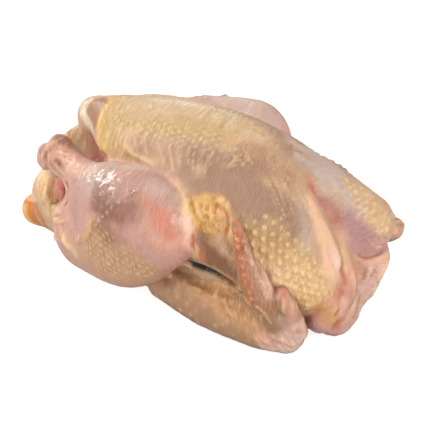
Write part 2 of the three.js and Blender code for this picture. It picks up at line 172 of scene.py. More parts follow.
class Noise:
    """Smooth seeded noise in space, from about -1 to 1."""

    CELLS = 32

    def __init__(self, seed: int) -> None:
        """Draws the noise's table of values, the same for the same seed."""
        self.table = np.random.default_rng(seed).uniform(-1.0, 1.0, (self.CELLS,) * 3)

    def __call__(self, points: Array, *grains: Grain) -> Array:
        """The noise at some points.

        Args:
            points: rows of three.
            *grains: the sizes of noise that are added up.

        Returns:
            One value for each point.
        """
        return sum(grain.strength * self.one(points + grain.offset, grain.size) for grain in grains)

    def one(self, points: Array, size: float | Row) -> Array:
        """A single size of noise.

        Args:
            points: rows of three.
            size: the size of a lump, the same for all axes or one for each.

        Returns:
            One value for each point.
        """
        q = points / np.asarray(size, float)
        base = np.floor(q).astype(int)
        f = q - base
        f = f * f * f * (f * (f * 6.0 - 15.0) + 10.0)
        total = np.zeros(len(q))
        for corner in np.ndindex(2, 2, 2):
            weight = np.prod(np.where(np.array(corner, bool), f, 1.0 - f), axis=1)
            i, j, k = ((base + corner) % self.CELLS).T
            total += weight * self.table[i, j, k]
        return total


# ---- the field -------------------------------------------------------------------------------------


@dataclass(frozen=True)
class Piece:
    """A short straight tapered oval piece of a limb."""

    start: Array
    along: Array
    wide: Row
    thin: Row
    wide_axis: Array
    thin_axis: Array
    ahead: Array

    def distance(self, points: Array) -> Array:
        """The distance to the piece's surface.

        Args:
            points: rows of three.

        Returns:
            One distance for each point, negative inside.
        """
        offset = points - self.start
        t = np.clip(offset @ self.along / (self.along @ self.along), 0.0, 1.0)
        away = offset - t[:, None] * self.along
        wide = self.wide[0] + (self.wide[1] - self.wide[0]) * t
        thin = self.thin[0] + (self.thin[1] - self.thin[0]) * t
        round_ = np.minimum(wide, thin)
        a = away @ self.wide_axis / wide
        b = away @ self.thin_axis / thin
        c = away @ self.ahead / round_
        size = np.sqrt(a * a + b * b + c * c)
        slope = np.sqrt((a / wide) ** 2 + (b / thin) ** 2 + (c / round_) ** 2)
        return np.where(size < TINY, -round_, size * (size - 1.0) / np.maximum(slope, TINY))


@dataclass(frozen=True)
class Limb:
    """A chain of tapered oval sections: rows of a centre x, y, z and two half-thicknesses."""

    rows: tuple[Row, ...]
    across: Facing = Facing.UP
    blend: float = 0.0

    STEPS = 8              # straight pieces between two stations
    FAR = 30.0             # distances are told only up to this

    def pieces(self) -> list[Piece]:
        """Cuts the limb into short straight pieces along a smooth curve.

        Returns:
            The pieces, from one end to the other.
        """
        rows = np.array(self.rows, float)
        knots = np.arange(len(rows), dtype=float)
        at = np.linspace(0.0, len(rows) - 1.0, (len(rows) - 1) * self.STEPS + 1)
        nodes = smooth_through(knots, rows, at)
        across = np.array(self.across.value)
        made = []
        for start, end in zip(nodes[:-1], nodes[1:]):
            along = end[:3] - start[:3]
            ahead = along / np.linalg.norm(along)
            wide_axis = across - ahead * (ahead @ across)
            wide_axis /= np.linalg.norm(wide_axis)
            thin_axis = np.cross(ahead, wide_axis)
            wide, thin = (start[3], end[3]), (start[4], end[4])
            made.append(Piece(start[:3], along, wide, thin, wide_axis, thin_axis, ahead))
        return made

    def distance(self, points: Array) -> Array:
        """The distance to the limb.

        Args:
            points: rows of three.

        Returns:
            One distance for each point, negative inside and never more than FAR.
        """
        best = np.full(len(points), self.FAR)
        for piece in self.pieces():
            reach = max(*piece.wide, *piece.thin) + self.FAR
            low = np.minimum(piece.start, piece.start + piece.along) - reach
            high = np.maximum(piece.start, piece.start + piece.along) + reach
            near = np.flatnonzero(((points > low) & (points < high)).all(axis=1))
            best[near] = np.minimum(best[near], piece.distance(points[near]))
        return best


@dataclass(frozen=True)
class Group:
    """Limbs that melt into each other first, and then over the group's blend into the groups before it."""

    blend: float
    limbs: tuple[Limb, ...]

    def distance(self, points: Array) -> Array:
        """The distance to the group.

        Args:
            points: rows of three.

        Returns:
            One distance for each point, negative inside.
        """
        d = self.limbs[0].distance(points)
        for limb in self.limbs[1:]:
            d = join(d, limb.distance(points), limb.blend)
        return d


@dataclass(frozen=True)
class Breast:
    """Cross-sections along X: keel height, height of the widest place, underside and half-width."""

    round_top: float = 2.05
    round_low: float = 2.3
    caps: Row = (15.0, 8.0)        # how far the tail end and the neck end bulge past the last sections
    stations: tuple[Row, ...] = (
        (-60, 117, 104, 91, 13.5),
        (-46.5, 121, 88, 58, 31.5),
        (-26.5, 125, 77.5, 33.5, 44),
        (0, 125.5, 68.5, 16, 51),
        (31, 122, 63.5, 9, 55.5),
        (61.5, 112.5, 58, 9, 56.5),
        (86, 98.5, 53, 12.5, 51),
        (100.5, 83.5, 49.5, 19.5, 40.5),
        (109, 68.5, 46, 28, 23),
    )

    def distance(self, points: Array) -> Array:
        """The distance to the breast.

        Args:
            points: rows of three.

        Returns:
            One distance for each point, negative inside.
        """
        rows = np.array(self.stations, float)
        x = np.clip(points[:, 0], rows[0, 0], rows[-1, 0])
        top, mid, low, half = smooth_through(rows[:, 0], rows[:, 1:], x).T
        up = points[:, 2] > mid
        tall = np.where(up, top - mid, mid - low)
        power = np.where(up, self.round_top, self.round_low)
        cap = np.where(points[:, 0] < x, self.caps[0], self.caps[1])
        parts = (
            (np.abs(points[:, 1]) / half, half),
            (np.abs(points[:, 2] - mid) / tall, tall),
            (np.abs(points[:, 0] - x) / cap, cap),
        )
        size = np.maximum(sum(share**power for share, _ in parts), TINY) ** (1.0 / power)
        slope = sum((share ** (power - 1) / extent) ** 2 for share, extent in parts)
        d = (size - 1.0) * size ** (power - 1.0) / np.sqrt(np.maximum(slope, TINY**2))
        return np.maximum(d, -cap)


def beside_chain(nodes: Array, points: Array) -> tuple[Array, Array, Array]:
    """How points lie beside a chain of straight pieces.

    Args:
        nodes: the chain's corners.
        points: the points to measure.

    Returns:
        The distance, the place along the chain from 0 to 1, and the offset from that place.
    """
    best = np.full(len(points), np.inf)
    share = np.zeros(len(points))
    offset = np.zeros((len(points), 3))
    for n, (start, end) in enumerate(zip(nodes[:-1], nodes[1:])):
        along = end - start
        t = np.clip((points - start) @ along / max(along @ along, TINY), 0.0, 1.0)
        away = points - start - t[:, None] * along
        d = np.linalg.norm(away, axis=1)
        nearer = d < best
        best[nearer] = d[nearer]
        share[nearer] = (n + t[nearer]) / (len(nodes) - 1)
        offset[nearer] = away[nearer]
    return best, share, offset


# ---- what is laid on the skin ----------------------------------------------------------------------


class Part(Enum):
    """The part of the bird that a stretch of skin belongs to."""

    TORSO = "torso"
    NEAR_LEG = "near leg"
    FAR_LEG = "far leg"
    NEAR_WING = "near wing"
    FAR_WING = "far wing"
    NECK = "neck"
    VENT_MEAT = "vent meat"
    CAVITY = "cavity"


SCREEN_TOE = 0.04045       # a screen's shades are linear up to this,
TOE_SLOPE = 12.92          # divided by this,
SCREEN_OFFSET = 0.055      # and follow a power above it
SCREEN_POWER = 2.4


class Tint(Enum):
    """Colours of skin, fat and meat, and of painted shade, painted shadow and pale painted highlights, as
    red, green and blue on a screen.
    """

    SKIN = (0.85, 0.69, 0.55)
    SIDE = (0.81, 0.66, 0.52)
    THIN = (0.75, 0.60, 0.49)
    MUSCLE = (0.65, 0.50, 0.40)
    WARM = (0.74, 0.57, 0.44)
    # painted shade: a dark brown laid on gaps, crevices and skin in the shadow of the folded limbs
    DUSK = (0.55, 0.36, 0.23)
    # painted shadow, for the darkest gaps
    SHADOW = (0.15, 0.06, 0.0)
    OLIVE = (0.86, 0.75, 0.59)
    FAT = (0.84, 0.70, 0.47)
    CORN = (0.77, 0.65, 0.43)
    PALE_FAT = (0.95, 0.81, 0.62)
    GOLD = (0.92, 0.73, 0.42)
    FOLLICLE = (0.97, 0.80, 0.52)
    PEACH_FAT = (0.95, 0.76, 0.54)
    PEACH = (0.94, 0.76, 0.61)
    ORANGE = (0.87, 0.65, 0.44)
    EMBER = (0.79, 0.44, 0.29)
    MAUVE = (0.75, 0.58, 0.53)
    BRUISE = (0.60, 0.41, 0.35)
    PLUM = (0.75, 0.58, 0.57)
    PINK = (0.80, 0.61, 0.55)
    LILAC = (0.82, 0.73, 0.68)
    BLUSH = (0.88, 0.65, 0.56)
    RED = (0.84, 0.52, 0.43)
    BEIGE = (0.79, 0.62, 0.48)
    WING = (0.69, 0.53, 0.40)
    HAND = (0.75, 0.53, 0.41)
    WRIST = (0.98, 0.81, 0.73)
    HOCK = (0.87, 0.66, 0.58)
    FLAP = (0.90, 0.73, 0.68)
    MEAT = (0.68, 0.51, 0.39)
    # pale rims, lightened further as a painted highlight
    BONE = (1.0, 0.91, 0.79)
    TAIL = (0.82, 0.49, 0.20)
    GUT = (0.86, 0.58, 0.46)

    def linear(self) -> Array:
        """The colour in linear light.

        Returns:
            Its red, green and blue.
        """
        shade = np.array(self.value)
        power = ((shade + SCREEN_OFFSET) / (1.0 + SCREEN_OFFSET)) ** SCREEN_POWER
        return np.where(shade <= SCREEN_TOE, shade / TOE_SLOPE, power)


class Mask(Enum):
    """What the skin's material is told for each place, from 0 to about 1."""

    LUMPY = "lumpy"        # bumpy fat under the skin
    PIMPLE = "pimple"      # raised yellow feather follicles
    PORE = "pore"          # small follicles, closer together
    CREPE = "crepe"        # fine wrinkles
    WET = "wet"            # moisture that glints


Masks = tuple[tuple[Mask, float], ...]


@dataclass(frozen=True)
class Patch:
    """A soft-edged patch of skin round a path: rows of x, y, z and the patch's reach there."""

    rows: tuple[Row, ...]
    fade: float
    tint: Tint | None = None
    amount: float = 1.0
    lumpy: float | None = None
    pimple: float | None = None
    pore: float | None = None
    crepe: float | None = None
    wet: float | None = None

    RAGGED = 0.35          # how far noise moves the edge, as a share of the fade

    def weight(self, points: Array, ragged: Array) -> Array:
        """How much of the patch each point has.

        Args:
            points: the skin's points.
            ragged: noise for each of them.

        Returns:
            A share from 0 to 1 for each point.
        """
        nodes = np.array(self.rows if len(self.rows) > 1 else self.rows * 2, float)
        distance, share, _ = beside_chain(nodes[:, :3], points)
        reach = np.interp(share, np.linspace(0.0, 1.0, len(nodes)), nodes[:, 3])
        return ease(self.fade / 2, -self.fade / 2, distance - reach + ragged * self.fade * self.RAGGED)

    def masks(self) -> Masks:
        """The masks that the patch sets."""
        values = ((mask, getattr(self, mask.value)) for mask in Mask)
        return tuple((mask, value) for mask, value in values if value is not None)

    def mirrored(self) -> "Patch":
        """The same patch on the bird's other side."""
        return replace(self, rows=other_side(self.rows))


@dataclass(frozen=True)
class Follicles:
    """A lattice of feather follicles on the laid-out skin, the same in the mesh and in the material."""

    spacing: float
    turn: float                    # degrees
    dot: Row                       # where on the sum of three waves a dot begins and is full
    heart: Row = (2.3, 2.95)       # and the smaller dot at its middle

    LATTICE = 60.0                 # degrees between the waves of a triangular lattice

    def waves(self) -> list[Row]:
        """The three waves whose crests meet at each follicle.

        Returns:
            The change of phase along the two ways of the sheet, for each wave.
        """
        pitch = 2.0 * math.pi / (self.spacing * math.cos(math.radians(self.LATTICE / 2.0)))
        angles = [math.radians(self.turn + self.LATTICE * n) for n in range(3)]
        return [(pitch * math.cos(a), pitch * math.sin(a)) for a in angles]

    def dots(self, lay: Array) -> Array:
        """How much of a follicle each laid-out point has."""
        return ease(*self.dot, sum(np.cos(a * lay[:, 0] + b * lay[:, 1]) for a, b in self.waves()))


class Shape(Enum):
    """How a fold's section runs: a line raised or pressed in, or skin that overlaps its neighbour."""

    LINE = "line"
    STEP = "step"


@dataclass(frozen=True)
class Fold:
    """A fold of skin along a path, raised by its height, or pressed in where that is negative."""

    path: tuple[Point, ...]
    height: float
    width: float
    shape: Shape = Shape.LINE

    SPACING = 3.0          # between the points of the path once it is laid on the skin
    FEWEST = 3             # points that a short path still gets
    END = 0.22             # the share of the path over which a fold rises at each end
    LINE_REACH = 3.0       # a line has faded out at this many widths
    STEP_REACH = 6.0       # and a step at this many

    def folds(self) -> list["Fold"]:
        """The fold itself, as the only one."""
        return [self]

    def nodes(self) -> Array:
        """Follows the path with evenly many points.

        Returns:
            Points along a smooth curve through the path.
        """
        path = np.array(self.path, float)
        length = np.linalg.norm(np.diff(path, axis=0), axis=1).sum()
        count = max(int(length / self.SPACING), self.FEWEST)
        at = np.linspace(0.0, len(path) - 1.0, count)
        return smooth_through(np.arange(len(path), dtype=float), path, at)

    def lift(self, nodes: Array, points: Array, normals: Array) -> Array:
        """How far the fold lifts each point.

        Args:
            nodes: the fold's path, laid on the skin.
            points: points of the skin.
            normals: their normals.

        Returns:
            A height for each point.
        """
        far = self.width * (self.STEP_REACH if self.shape is Shape.STEP else self.LINE_REACH)
        low, high = nodes.min(axis=0) - far, nodes.max(axis=0) + far
        near = np.flatnonzero(((points > low) & (points < high)).all(axis=1))
        lifted = np.zeros(len(points))
        distance, share, offset = beside_chain(nodes, points[near])
        taper = ease(0.0, self.END, share) * ease(1.0, 1.0 - self.END, share)
        if self.shape is Shape.LINE:
            lifted[near] = self.height * taper * np.exp(-((distance / self.width) ** 2))
            return lifted
        along = np.gradient(nodes, axis=0)
        place = np.clip((share * (len(nodes) - 1)).astype(int), 0, len(nodes) - 1)
        side = (offset * np.cross(normals[near], along[place])).sum(axis=1)
        side /= np.maximum(np.linalg.norm(along[place], axis=1), TINY)
        high_side = ease(-self.width / 2, self.width / 2, side)
        lifted[near] = self.height * taper * high_side * ease(far, 0.0, distance)
        return lifted

    def mirrored(self) -> "Fold":
        """The same fold on the bird's other side."""
        return replace(self, path=other_side(self.path))


@dataclass(frozen=True)
class Pleats:
    """Folds that run side by side from one path to another, each a little different."""

    first: tuple[Point, ...]
    last: tuple[Point, ...]
    count: int
    height: float
    width: float
    seed: int

    STRAY = 0.35                            # how far a fold strays, as a share of the gap between two
    START: ClassVar[Row] = (0.0, 0.3)       # the share of the path at which a fold starts
    END: ClassVar[Row] = (0.7, 1.0)         # and at which it ends
    VARY: ClassVar[Row] = (0.6, 1.25)       # times its height and its width

    def folds(self) -> list[Fold]:
        """Draws the folds.

        Returns:
            The folds, spread from the first path to the last.
        """
        draw = np.random.default_rng(self.seed)
        first, last = np.array(self.first, float), np.array(self.last, float)
        made = []
        for n in range(self.count):
            strays = draw.uniform(-self.STRAY, self.STRAY, len(first))
            shares = np.clip((n + strays) / max(self.count - 1, 1), 0.0, 1.0)
            path = first + shares[:, None] * (last - first)
            start, end = draw.uniform(*self.START), draw.uniform(*self.END)
            at = np.linspace(start, end, len(path)) * (len(path) - 1)
            path = smooth_through(np.arange(len(path), dtype=float), path, at)
            height, width = draw.uniform(*self.VARY, 2) * (self.height, self.width)
            made.append(Fold(tuple(map(tuple, path)), height, width))
        return made

    def mirrored(self) -> "Pleats":
        """The same folds on the bird's other side."""
        return replace(self, first=other_side(self.first), last=other_side(self.last))


Patches = tuple[Patch, ...]
Folds = tuple[Fold | Pleats, ...]


def mirrored(made: Patches | Folds) -> Patches | Folds:
    """The same patches or folds on the bird's other side."""
    return tuple(one.mirrored() for one in made)


# ---- the bird's parts ------------------------------------------------------------------------------


@dataclass(frozen=True)
class Torso:
    """The breast, the back it lies on, the rump with the tail stub, the keel's tip and the far rim."""

    breast: Breast = Breast()
    back: Group = Group(19.5, (
        Limb(((-77.5, 0, 26.5, 23, 22), (-44, 0, 28, 37, 30), (17.5, 0, 31.5, 44, 35.5),
              (72, 0, 31.5, 40.5, 34)), Facing.SIDE),
    ))
    rump: Group = Group(10.5, (
        Limb(((-53, 0, 40.5, 30, 35), (-81, 0, 37, 26.5, 31.5), (-97, -1, 32.5, 20.5, 25.5)), Facing.SIDE),
        Limb(((-95, 2.5, 21, 16.5, 13), (-109, 2, 18.5, 14.5, 13.5), (-119, 1, 16.5, 12, 12)),
             Facing.SIDE, 7),
    ))
    keel_tip: Group = Group(9, (
        Limb(((-53, -1, 105, 16, 13), (-66.5, -2, 108.5, 9.5, 8.5))),
    ))
    far_rim: Group = Group(5.5, (
        Limb(((-53, 21, 99, 8, 5.5), (-73, 23, 92.5, 11.5, 5.5), (-91.5, 24, 76, 11, 5.5),
              (-102, 19.5, 61.5, 10.5, 6), (-106.5, 7, 50, 8, 6))),
        Limb(((-46, 26.5, 77.5, 19.5, 6), (-67, 24.5, 72, 17.5, 5.5), (-86, 22, 60, 14, 5.5)), blend=9),
    ))

    RIDGE: ClassVar[Patches] = (
        # the ridge
        Patch(((-47, -3, 123, 8), (-18, 0, 126, 9), (9, 2, 125, 10), (33, 1, 122, 10), (50, 3, 117, 8)), 18,
              Tint.OLIVE, crepe=0.75),
        Patch(((-31, 4, 124, 3), (-13, 6, 125, 4), (8, 11, 124, 4)), 7, wet=0.55),
        Patch(((14, 11, 123, 2), (29, 17, 120, 3), (45, 19, 116, 3)), 6, wet=0.55),
        Patch(((66, 10, 110, 10), (82, 8, 101, 8)), 16, Tint.MUSCLE, 0.5),
    )

    SIDE: ClassVar[Patches] = (
        # the tail half's yellow fat
        Patch(((-48, -9, 121, 7), (-47, -19, 115, 8), (-43, -28, 107, 7)), 12, Tint.FAT, crepe=0.9),
        Patch(((-35, -32, 107, 4), (-25, -35, 107, 4), (-13, -37, 107, 3)), 10, Tint.FAT, 0.7, crepe=1.0),
        Patch(((-51, -3, 122, 2), (-52, -12, 118, 2.5), (-52, -18, 113, 2.5), (-50, -23, 108, 2.5),
              (-45, -30, 102, 2.5)), 3, Tint.GOLD, 0.75),
        Patch(((-38, -18, 118, 5), (-23, -20, 121, 6), (-3, -21, 121, 6), (12, -19, 121, 6),
              (27, -18, 120, 6), (39, -16, 118, 5), (47, -19, 115, 4)), 10, Tint.CORN, 0.9, pore=0.8,
              crepe=0.5),
        Patch(((5, -10, 124, 6), (18, -10, 123, 8), (29, -9, 122, 8)), 10, Tint.CORN, 0.6, crepe=0.5),
        Patch(((37, 8, 120, 3), (45, 9, 118, 4), (55, 8, 115, 4)), 8, Tint.ORANGE, 0.6),
        # the breast muscle under thin skin
        Patch(((-15, -32, 113, 6), (6, -33, 113, 11), (28, -30, 113, 13), (46, -27, 112, 13)), 18, Tint.THIN,
              0.9, crepe=0.7),
        Patch(((44, -16, 117, 4), (53, -11, 115, 7), (65, -9, 110, 8), (74, -13, 105, 6)), 14, Tint.WARM,
              0.9, crepe=0.6),
        Patch(((24, -42, 103, 7), (44, -40, 102, 15), (64, -38, 98, 18), (82, -36, 89, 16)), 12, Tint.MUSCLE,
              1.0, crepe=0.3),
        Patch(((85, -21, 96, 3), (90, -26, 90, 4), (95, -31, 83, 5), (97, -39, 78, 4)), 8, Tint.LILAC, 0.55),
        Patch(((22, -30, 114, 6), (40, -28, 113, 9), (54, -22, 111, 7)), 12, Tint.MUSCLE, 0.8),
        # the wrinkled patch of fat behind the leg
        Patch(((27, -48, 94, 3), (34, -48, 93, 7), (39, -49, 92, 8), (46, -47, 93, 7), (52, -49, 89, 4)), 5,
              Tint.GOLD, 0.85, lumpy=1.1, crepe=0.6),
        Patch(((27, -49, 91, 4), (34, -52, 86, 6), (40, -53, 82, 6), (44, -51, 86, 5)), 5, Tint.GOLD, 0.9,
              lumpy=1.1),
        Patch(((49, -48, 91, 5), (53, -51, 85, 5), (56, -53, 80, 4)), 5, Tint.ORANGE, 0.9, lumpy=1.0),
        Patch(((54, -54, 77, 3), (57, -55, 71, 4)), 4, Tint.WARM, 0.9, lumpy=0.8),
        # painted shade low on the side, below the fat patch
        Patch(((37, -55, 75, 4), (41, -56, 69, 6), (48, -57, 62, 9), (56, -57, 56, 7)), 10, Tint.DUSK, 0.95),
        Patch(((33, -54, 78, 1.5), (36, -55, 70, 2), (38, -56, 64, 2)), 6, Tint.BLUSH, 0.4),
        Patch(((36, -56, 66, 1.5), (39, -56, 61, 1.5)), 5, Tint.EMBER, 0.9),
        # feather follicles towards the wing
        Patch(((64, -47, 87, 5), (75, -47, 83, 9), (87, -48, 75, 10), (98, -46, 67, 9)), 14, Tint.FAT, 0.6,
              pimple=1.0),
        Patch(((87, -54, 62, 5), (97, -50, 57, 10), (105, -44, 50, 11), (111, -36, 46, 8)), 12,
              Tint.PALE_FAT, 1.0, pimple=0.9, pore=0.4, lumpy=0.3),
        Patch(((100, -49, 47, 6), (107, -41, 41, 5)), 8, Tint.FOLLICLE, 0.5),
        Patch(((91, -49, 71, 5), (99, -46, 64, 6)), 9, Tint.PALE_FAT, 0.6),
    )

    OWN: ClassVar[Patches] = (
        # painted shadow and painted shade in the gap behind the folded wing
        Patch(((27, -60, 57, 3.5), (34, -55, 53, 4.5), (43, -56, 54, 4.5), (49, -56, 52, 3.5),
              (55, -57, 52, 2.5)), 2, Tint.SHADOW),
        Patch(((52, -56, 49, 3), (57, -56, 51, 2), (61, -56, 49, 2.5), (58, -55, 45, 3), (63, -50, 38, 3)),
              4, Tint.DUSK),
        # the smooth front
        Patch(((90, -15, 94, 2), (96, -19, 86, 3.5), (103, -23, 76, 8), (108, -23, 63, 11),
              (113, -29, 57, 8)), 8, Tint.PEACH, crepe=0.1),
        Patch(((107, -21, 65, 3), (112, -23, 57, 4), (113, -26, 51, 5)), 6, Tint.WRIST, 0.95, wet=0.4),
        Patch(((109, -37, 32, 5), (114, -37, 28, 5)), 4, Tint.ORANGE),
        Patch(((84, -2, 100, 3.5), (88, -4, 96, 5), (91, -5, 91, 5)), 7, Tint.RED),
        Patch(((92, -5, 90, 5), (96, 0, 80, 6), (102, 2, 71, 5)), 9, Tint.BLUSH, 0.8),
        # the far side of the front
        Patch(((77, 11, 104, 6), (88, 14, 95, 12), (99, 16, 85, 10), (108, 18, 76, 6)), 14, Tint.LILAC),
        Patch(((66, 20, 107, 5), (78, 29, 97, 6), (93, 28, 90, 6)), 10, Tint.LILAC, 0.7),
        Patch(((98, 25, 87, 4), (109, 24, 79, 7), (121, 21, 70, 7), (127, 21, 59, 4)), 8, Tint.PALE_FAT,
              0.45, pimple=0.7),
        # the far lobe's overhanging lower side: purple-pink skin, darkened further as painted shade
        Patch(((96, 2, 83, 3), (104, 5, 71, 7), (114, 9, 59, 10), (123, 12, 53, 10), (130, 16, 52, 6)), 9,
              Tint.PLUM),
        Patch(((128, 19, 54, 5), (133, 14, 50, 4)), 5, Tint.PLUM, 0.9),
        Patch(((97, 2, 80, 3), (103, 3, 69, 4), (108, 1, 60, 4)), 7, Tint.BLUSH, 0.8),
        Patch(((108, -3, 61, 4), (112, -6, 57, 6), (117, -11, 52, 5)), 8, Tint.PEACH, 0.9),
        # the bare keel tip and its rim
        Patch(((-58, -6, 120, 5), (-60, -11, 116, 6), (-60, -15, 109, 5), (-59, -16, 104, 3)), 3, Tint.MEAT,
              wet=0.2),
        # the rim: pale, with a painted highlight along it
        Patch(((-67, -4, 119, 1.5), (-69, -9, 116, 1.5), (-68, -12, 112, 2), (-64, -14, 109, 2.5),
              (-59, -16, 104, 2)), 3, Tint.BONE, 0.9, wet=1.0),
        # the cavity's rim, the vent and the tail stub
        # the cavity's far rim: pale fat, lightened further as painted light where the near parts shade it
        Patch(((-101, 21, 71, 5), (-97, 24, 75, 6), (-92, 24, 68, 7), (-87, 24, 64, 4)), 8, Tint.BONE, 1.0,
              crepe=0.6, wet=0.4),
        Patch(((-99, 22, 70, 5), (-92, 24, 68, 6)), 8, Tint.GOLD, 0.6),
        Patch(((-109, -5, 54, 4), (-98, -19, 50, 4), (-91, -25, 35, 5), (-58, -59, 48, 4)), 8, Tint.PALE_FAT,
              0.8, crepe=0.6),
        Patch(((-96, -16, 56, 2), (-93, -23, 45, 2), (-68, -52, 52, 2)), 5, Tint.GOLD, 0.5, crepe=0.6),
        # painted shade in the crevice between the vent and the thigh
        Patch(((-70, -41, 79, 3), (-80, -24, 57, 3.5), (-63, -48, 67, 3)), 4, Tint.DUSK, 0.8),
        Patch(((-127, 0, 17, 12), (-119, 0, 14, 13)), 6, Tint.TAIL, 0.8),
        Patch(((-122, -5, 26, 5), (-116, -11, 22, 5), (-110, -13, 17, 4), (-107, -11, 11, 3)), 3, Tint.TAIL),
        Patch(((-111, -16, 34, 3), (-107, -19, 33, 3.5), (-104, -19, 24, 3.5), (-102, -16, 16, 2.5)), 3,
              Tint.TAIL),
        Patch(((-126, 1, 26, 2.5), (-110, -16, 40, 2.5)), 3, Tint.PEACH, 0.55),
        Patch(((-120, -11, 20, 9),), 8, Tint.TAIL),
        Patch(((-125, -9, 21, 3), (-121, -10, 12, 4), (-116, -8, 8, 3)), 4, Tint.GOLD, 0.9),
    )

    FOLDS: ClassVar[Folds] = (
        # the skin's edge over the bare keel tip
        Fold(((-50, 0, 122), (-52, -8, 121), (-53, -13, 117), (-53, -17, 113), (-52, -21, 109),
             (-50, -25, 105), (-46, -29, 101), (-47, -21, 90)), 1.4, 1.2, Shape.STEP),
        # the keel tip's rounded rim
        Fold(((-66, -4, 119), (-69, -8, 117), (-69, -11, 112), (-66, -14, 108)), 1.0, 1.6),
        # wrinkles along that edge
        Pleats(((-45, -6, 122), (-47, -17, 116), (-48, -24, 109), (-42, -31, 102)),
               ((-30, -15, 122), (-32, -24, 117), (-33, -31, 110), (-26, -36, 105)), 6, 0.85, 1.3, 11),
        # long wrinkles across the tail half
        Pleats(((-34, -17, 120), (-37, -27, 113), (-31, -34, 106)),
               ((-14, -22, 120), (-13, -30, 115), (-6, -37, 108)), 8, 0.66, 1.3, 12),
        # the strong fold above the leg
        Fold(((-29, -31, 111), (-19, -35, 108), (-9, -37, 107), (0, -39, 106)), 1.8, 2.0),
        # steep small folds above it
        Fold(((2, -25, 119), (5, -31, 114), (9, -36, 109), (13, -41, 104)), 0.9, 1.2),
        Fold(((-5, -27, 117), (-1, -33, 113), (5, -38, 107)), 0.6, 1.0),
        # upright bumps in a band along the side
        Pleats(((-25, -18, 121), (-20, -25, 118)), ((24, -8, 123), (28, -19, 119)), 12, 0.4, 1.3, 13),
        # slanting folds up on the ridge
        Pleats(((-13, -13, 124), (-12, -6, 125), (-11, 2, 126)),
               ((12, -10, 124), (12, 2, 125), (12, 16, 122)), 7, 0.85, 1.1, 14),
        # fine wrinkles beside them
        Pleats(((20, -10, 123), (20, -1, 124), (20, 10, 123)),
               ((36, -9, 120), (33, 2, 121), (32, 10, 121)), 8, 0.95, 1.3, 15),
        # fine wrinkles down the side
        Pleats(((7, -25, 119), (10, -33, 113), (16, -39, 106)),
               ((30, -20, 119), (31, -30, 113), (34, -39, 106)), 9, 0.76, 1.3, 16),
        Fold(((45, -13, 117), (51, -18, 114), (56, -21, 111)), 0.8, 0.8),
        # grain of the muscle
        Pleats(((59, -23, 109), (68, -27, 103), (76, -33, 96), (82, -37, 88)),
               ((70, -7, 108), (80, -14, 101), (89, -20, 93), (94, -26, 86)), 7, 0.66, 1.3, 17),
        Pleats(((42, -31, 110), (43, -25, 113), (44, -19, 116)),
               ((48, -29, 110), (49, -23, 112), (50, -19, 114)), 4, 0.95, 1.3, 18),
        # the fat patch's edge and wrinkles
        Fold(((40, -43, 100), (45, -46, 96), (51, -47, 93), (54, -50, 88), (55, -53, 80), (57, -55, 73)),
             2.2, 1.2, Shape.STEP),
        Pleats(((29, -47, 96), (33, -50, 90), (38, -53, 82)),
               ((48, -46, 94), (52, -50, 87), (54, -54, 77)), 9, 1.6, 1.3, 19),
        # the crease where the neck begins
        Fold(((84, -1, 99), (90, -2, 93), (95, 0, 84), (100, 2, 73), (106, 3, 64)), -3, 4.0),
        # the far shoulder and its lower edge
        Fold(((90, 11, 94), (99, 13, 85), (108, 14, 74), (116, 12, 64)), 2.0, 6.0),
        Fold(((132, 18, 50), (128, 8, 49), (120, 4, 47), (113, 4, 52)), 2.5, 1.6, Shape.STEP),
        # creases down the front
        Fold(((105, -7, 65), (112, -13, 60), (116, -20, 53), (116, -21, 44), (115, -25, 35), (118, -34, 32)),
             -2.5, 2.0),
        Pleats(((99, -21, 82), (105, -26, 72), (110, -32, 63)),
               ((106, -13, 68), (112, -19, 60), (114, -22, 50)), 4, 0.57, 1.3, 20),
        Fold(((101, -47, 40), (105, -37, 31), (112, -37, 34), (117, -32, 36)), -0.8, 1.5),
        # folds round the vent
        Pleats(((-113, -4, 51), (-107, -15, 48), (-103, -20, 41), (-99, -22, 30)),
               ((-98, -12, 58), (-96, -19, 52), (-93, -23, 45), (-89, -26, 37)), 6, 1.33, 1.4, 41),
        Fold(((-97, -10, 58), (-95, -18, 54), (-94, -21, 48), (-91, -24, 44)), 1.8, 1.8),
        Pleats(((-91, -24, 42), (-84, -26, 43), (-60, -51, 66)),
               ((-89, -26, 30), (-63, -54, 56), (-58, -55, 61)), 5, 1.33, 1.3, 42),
        Pleats(((-96, -23, 32), (-91, -23, 23), (-60, -59, 44)),
               ((-67, -50, 57), (-60, -57, 54), (-54, -61, 49)), 5, 0.95, 1.4, 43),
        Fold(((-60, -58, 48), (-55, -61, 46), (-50, -63, 43)), 2.0, 2.2),
        # the tail stub's cut rim
        Fold(((-128, 0, 24), (-121, -6, 27), (-107, -18, 38), (-104, -19, 43)), 1.2, 1.6),
        # the gap between the breast and the folded wing
        Fold(((24, -58, 56), (31, -55, 53), (39, -56, 53), (47, -56, 52), (55, -56, 49), (63, -56, 47)),
             -4.5, 2.2),
        # the dark gap beside the thigh
        Fold(((-62, -46, 84), (-58, -50, 81), (-59, -51, 74), (-62, -50, 66)), -1.8, 1.8),
    )

    def patches(self) -> dict[Part, Patches]:
        """The colours of the breast, the rump and the cavity's rim."""
        return {Part.TORSO: (*mirrored(self.SIDE), *self.RIDGE, *self.SIDE, *self.OWN)}

    def folds(self) -> Folds:
        """The folds and wrinkles of the breast, the front and the vent."""
        return self.FOLDS


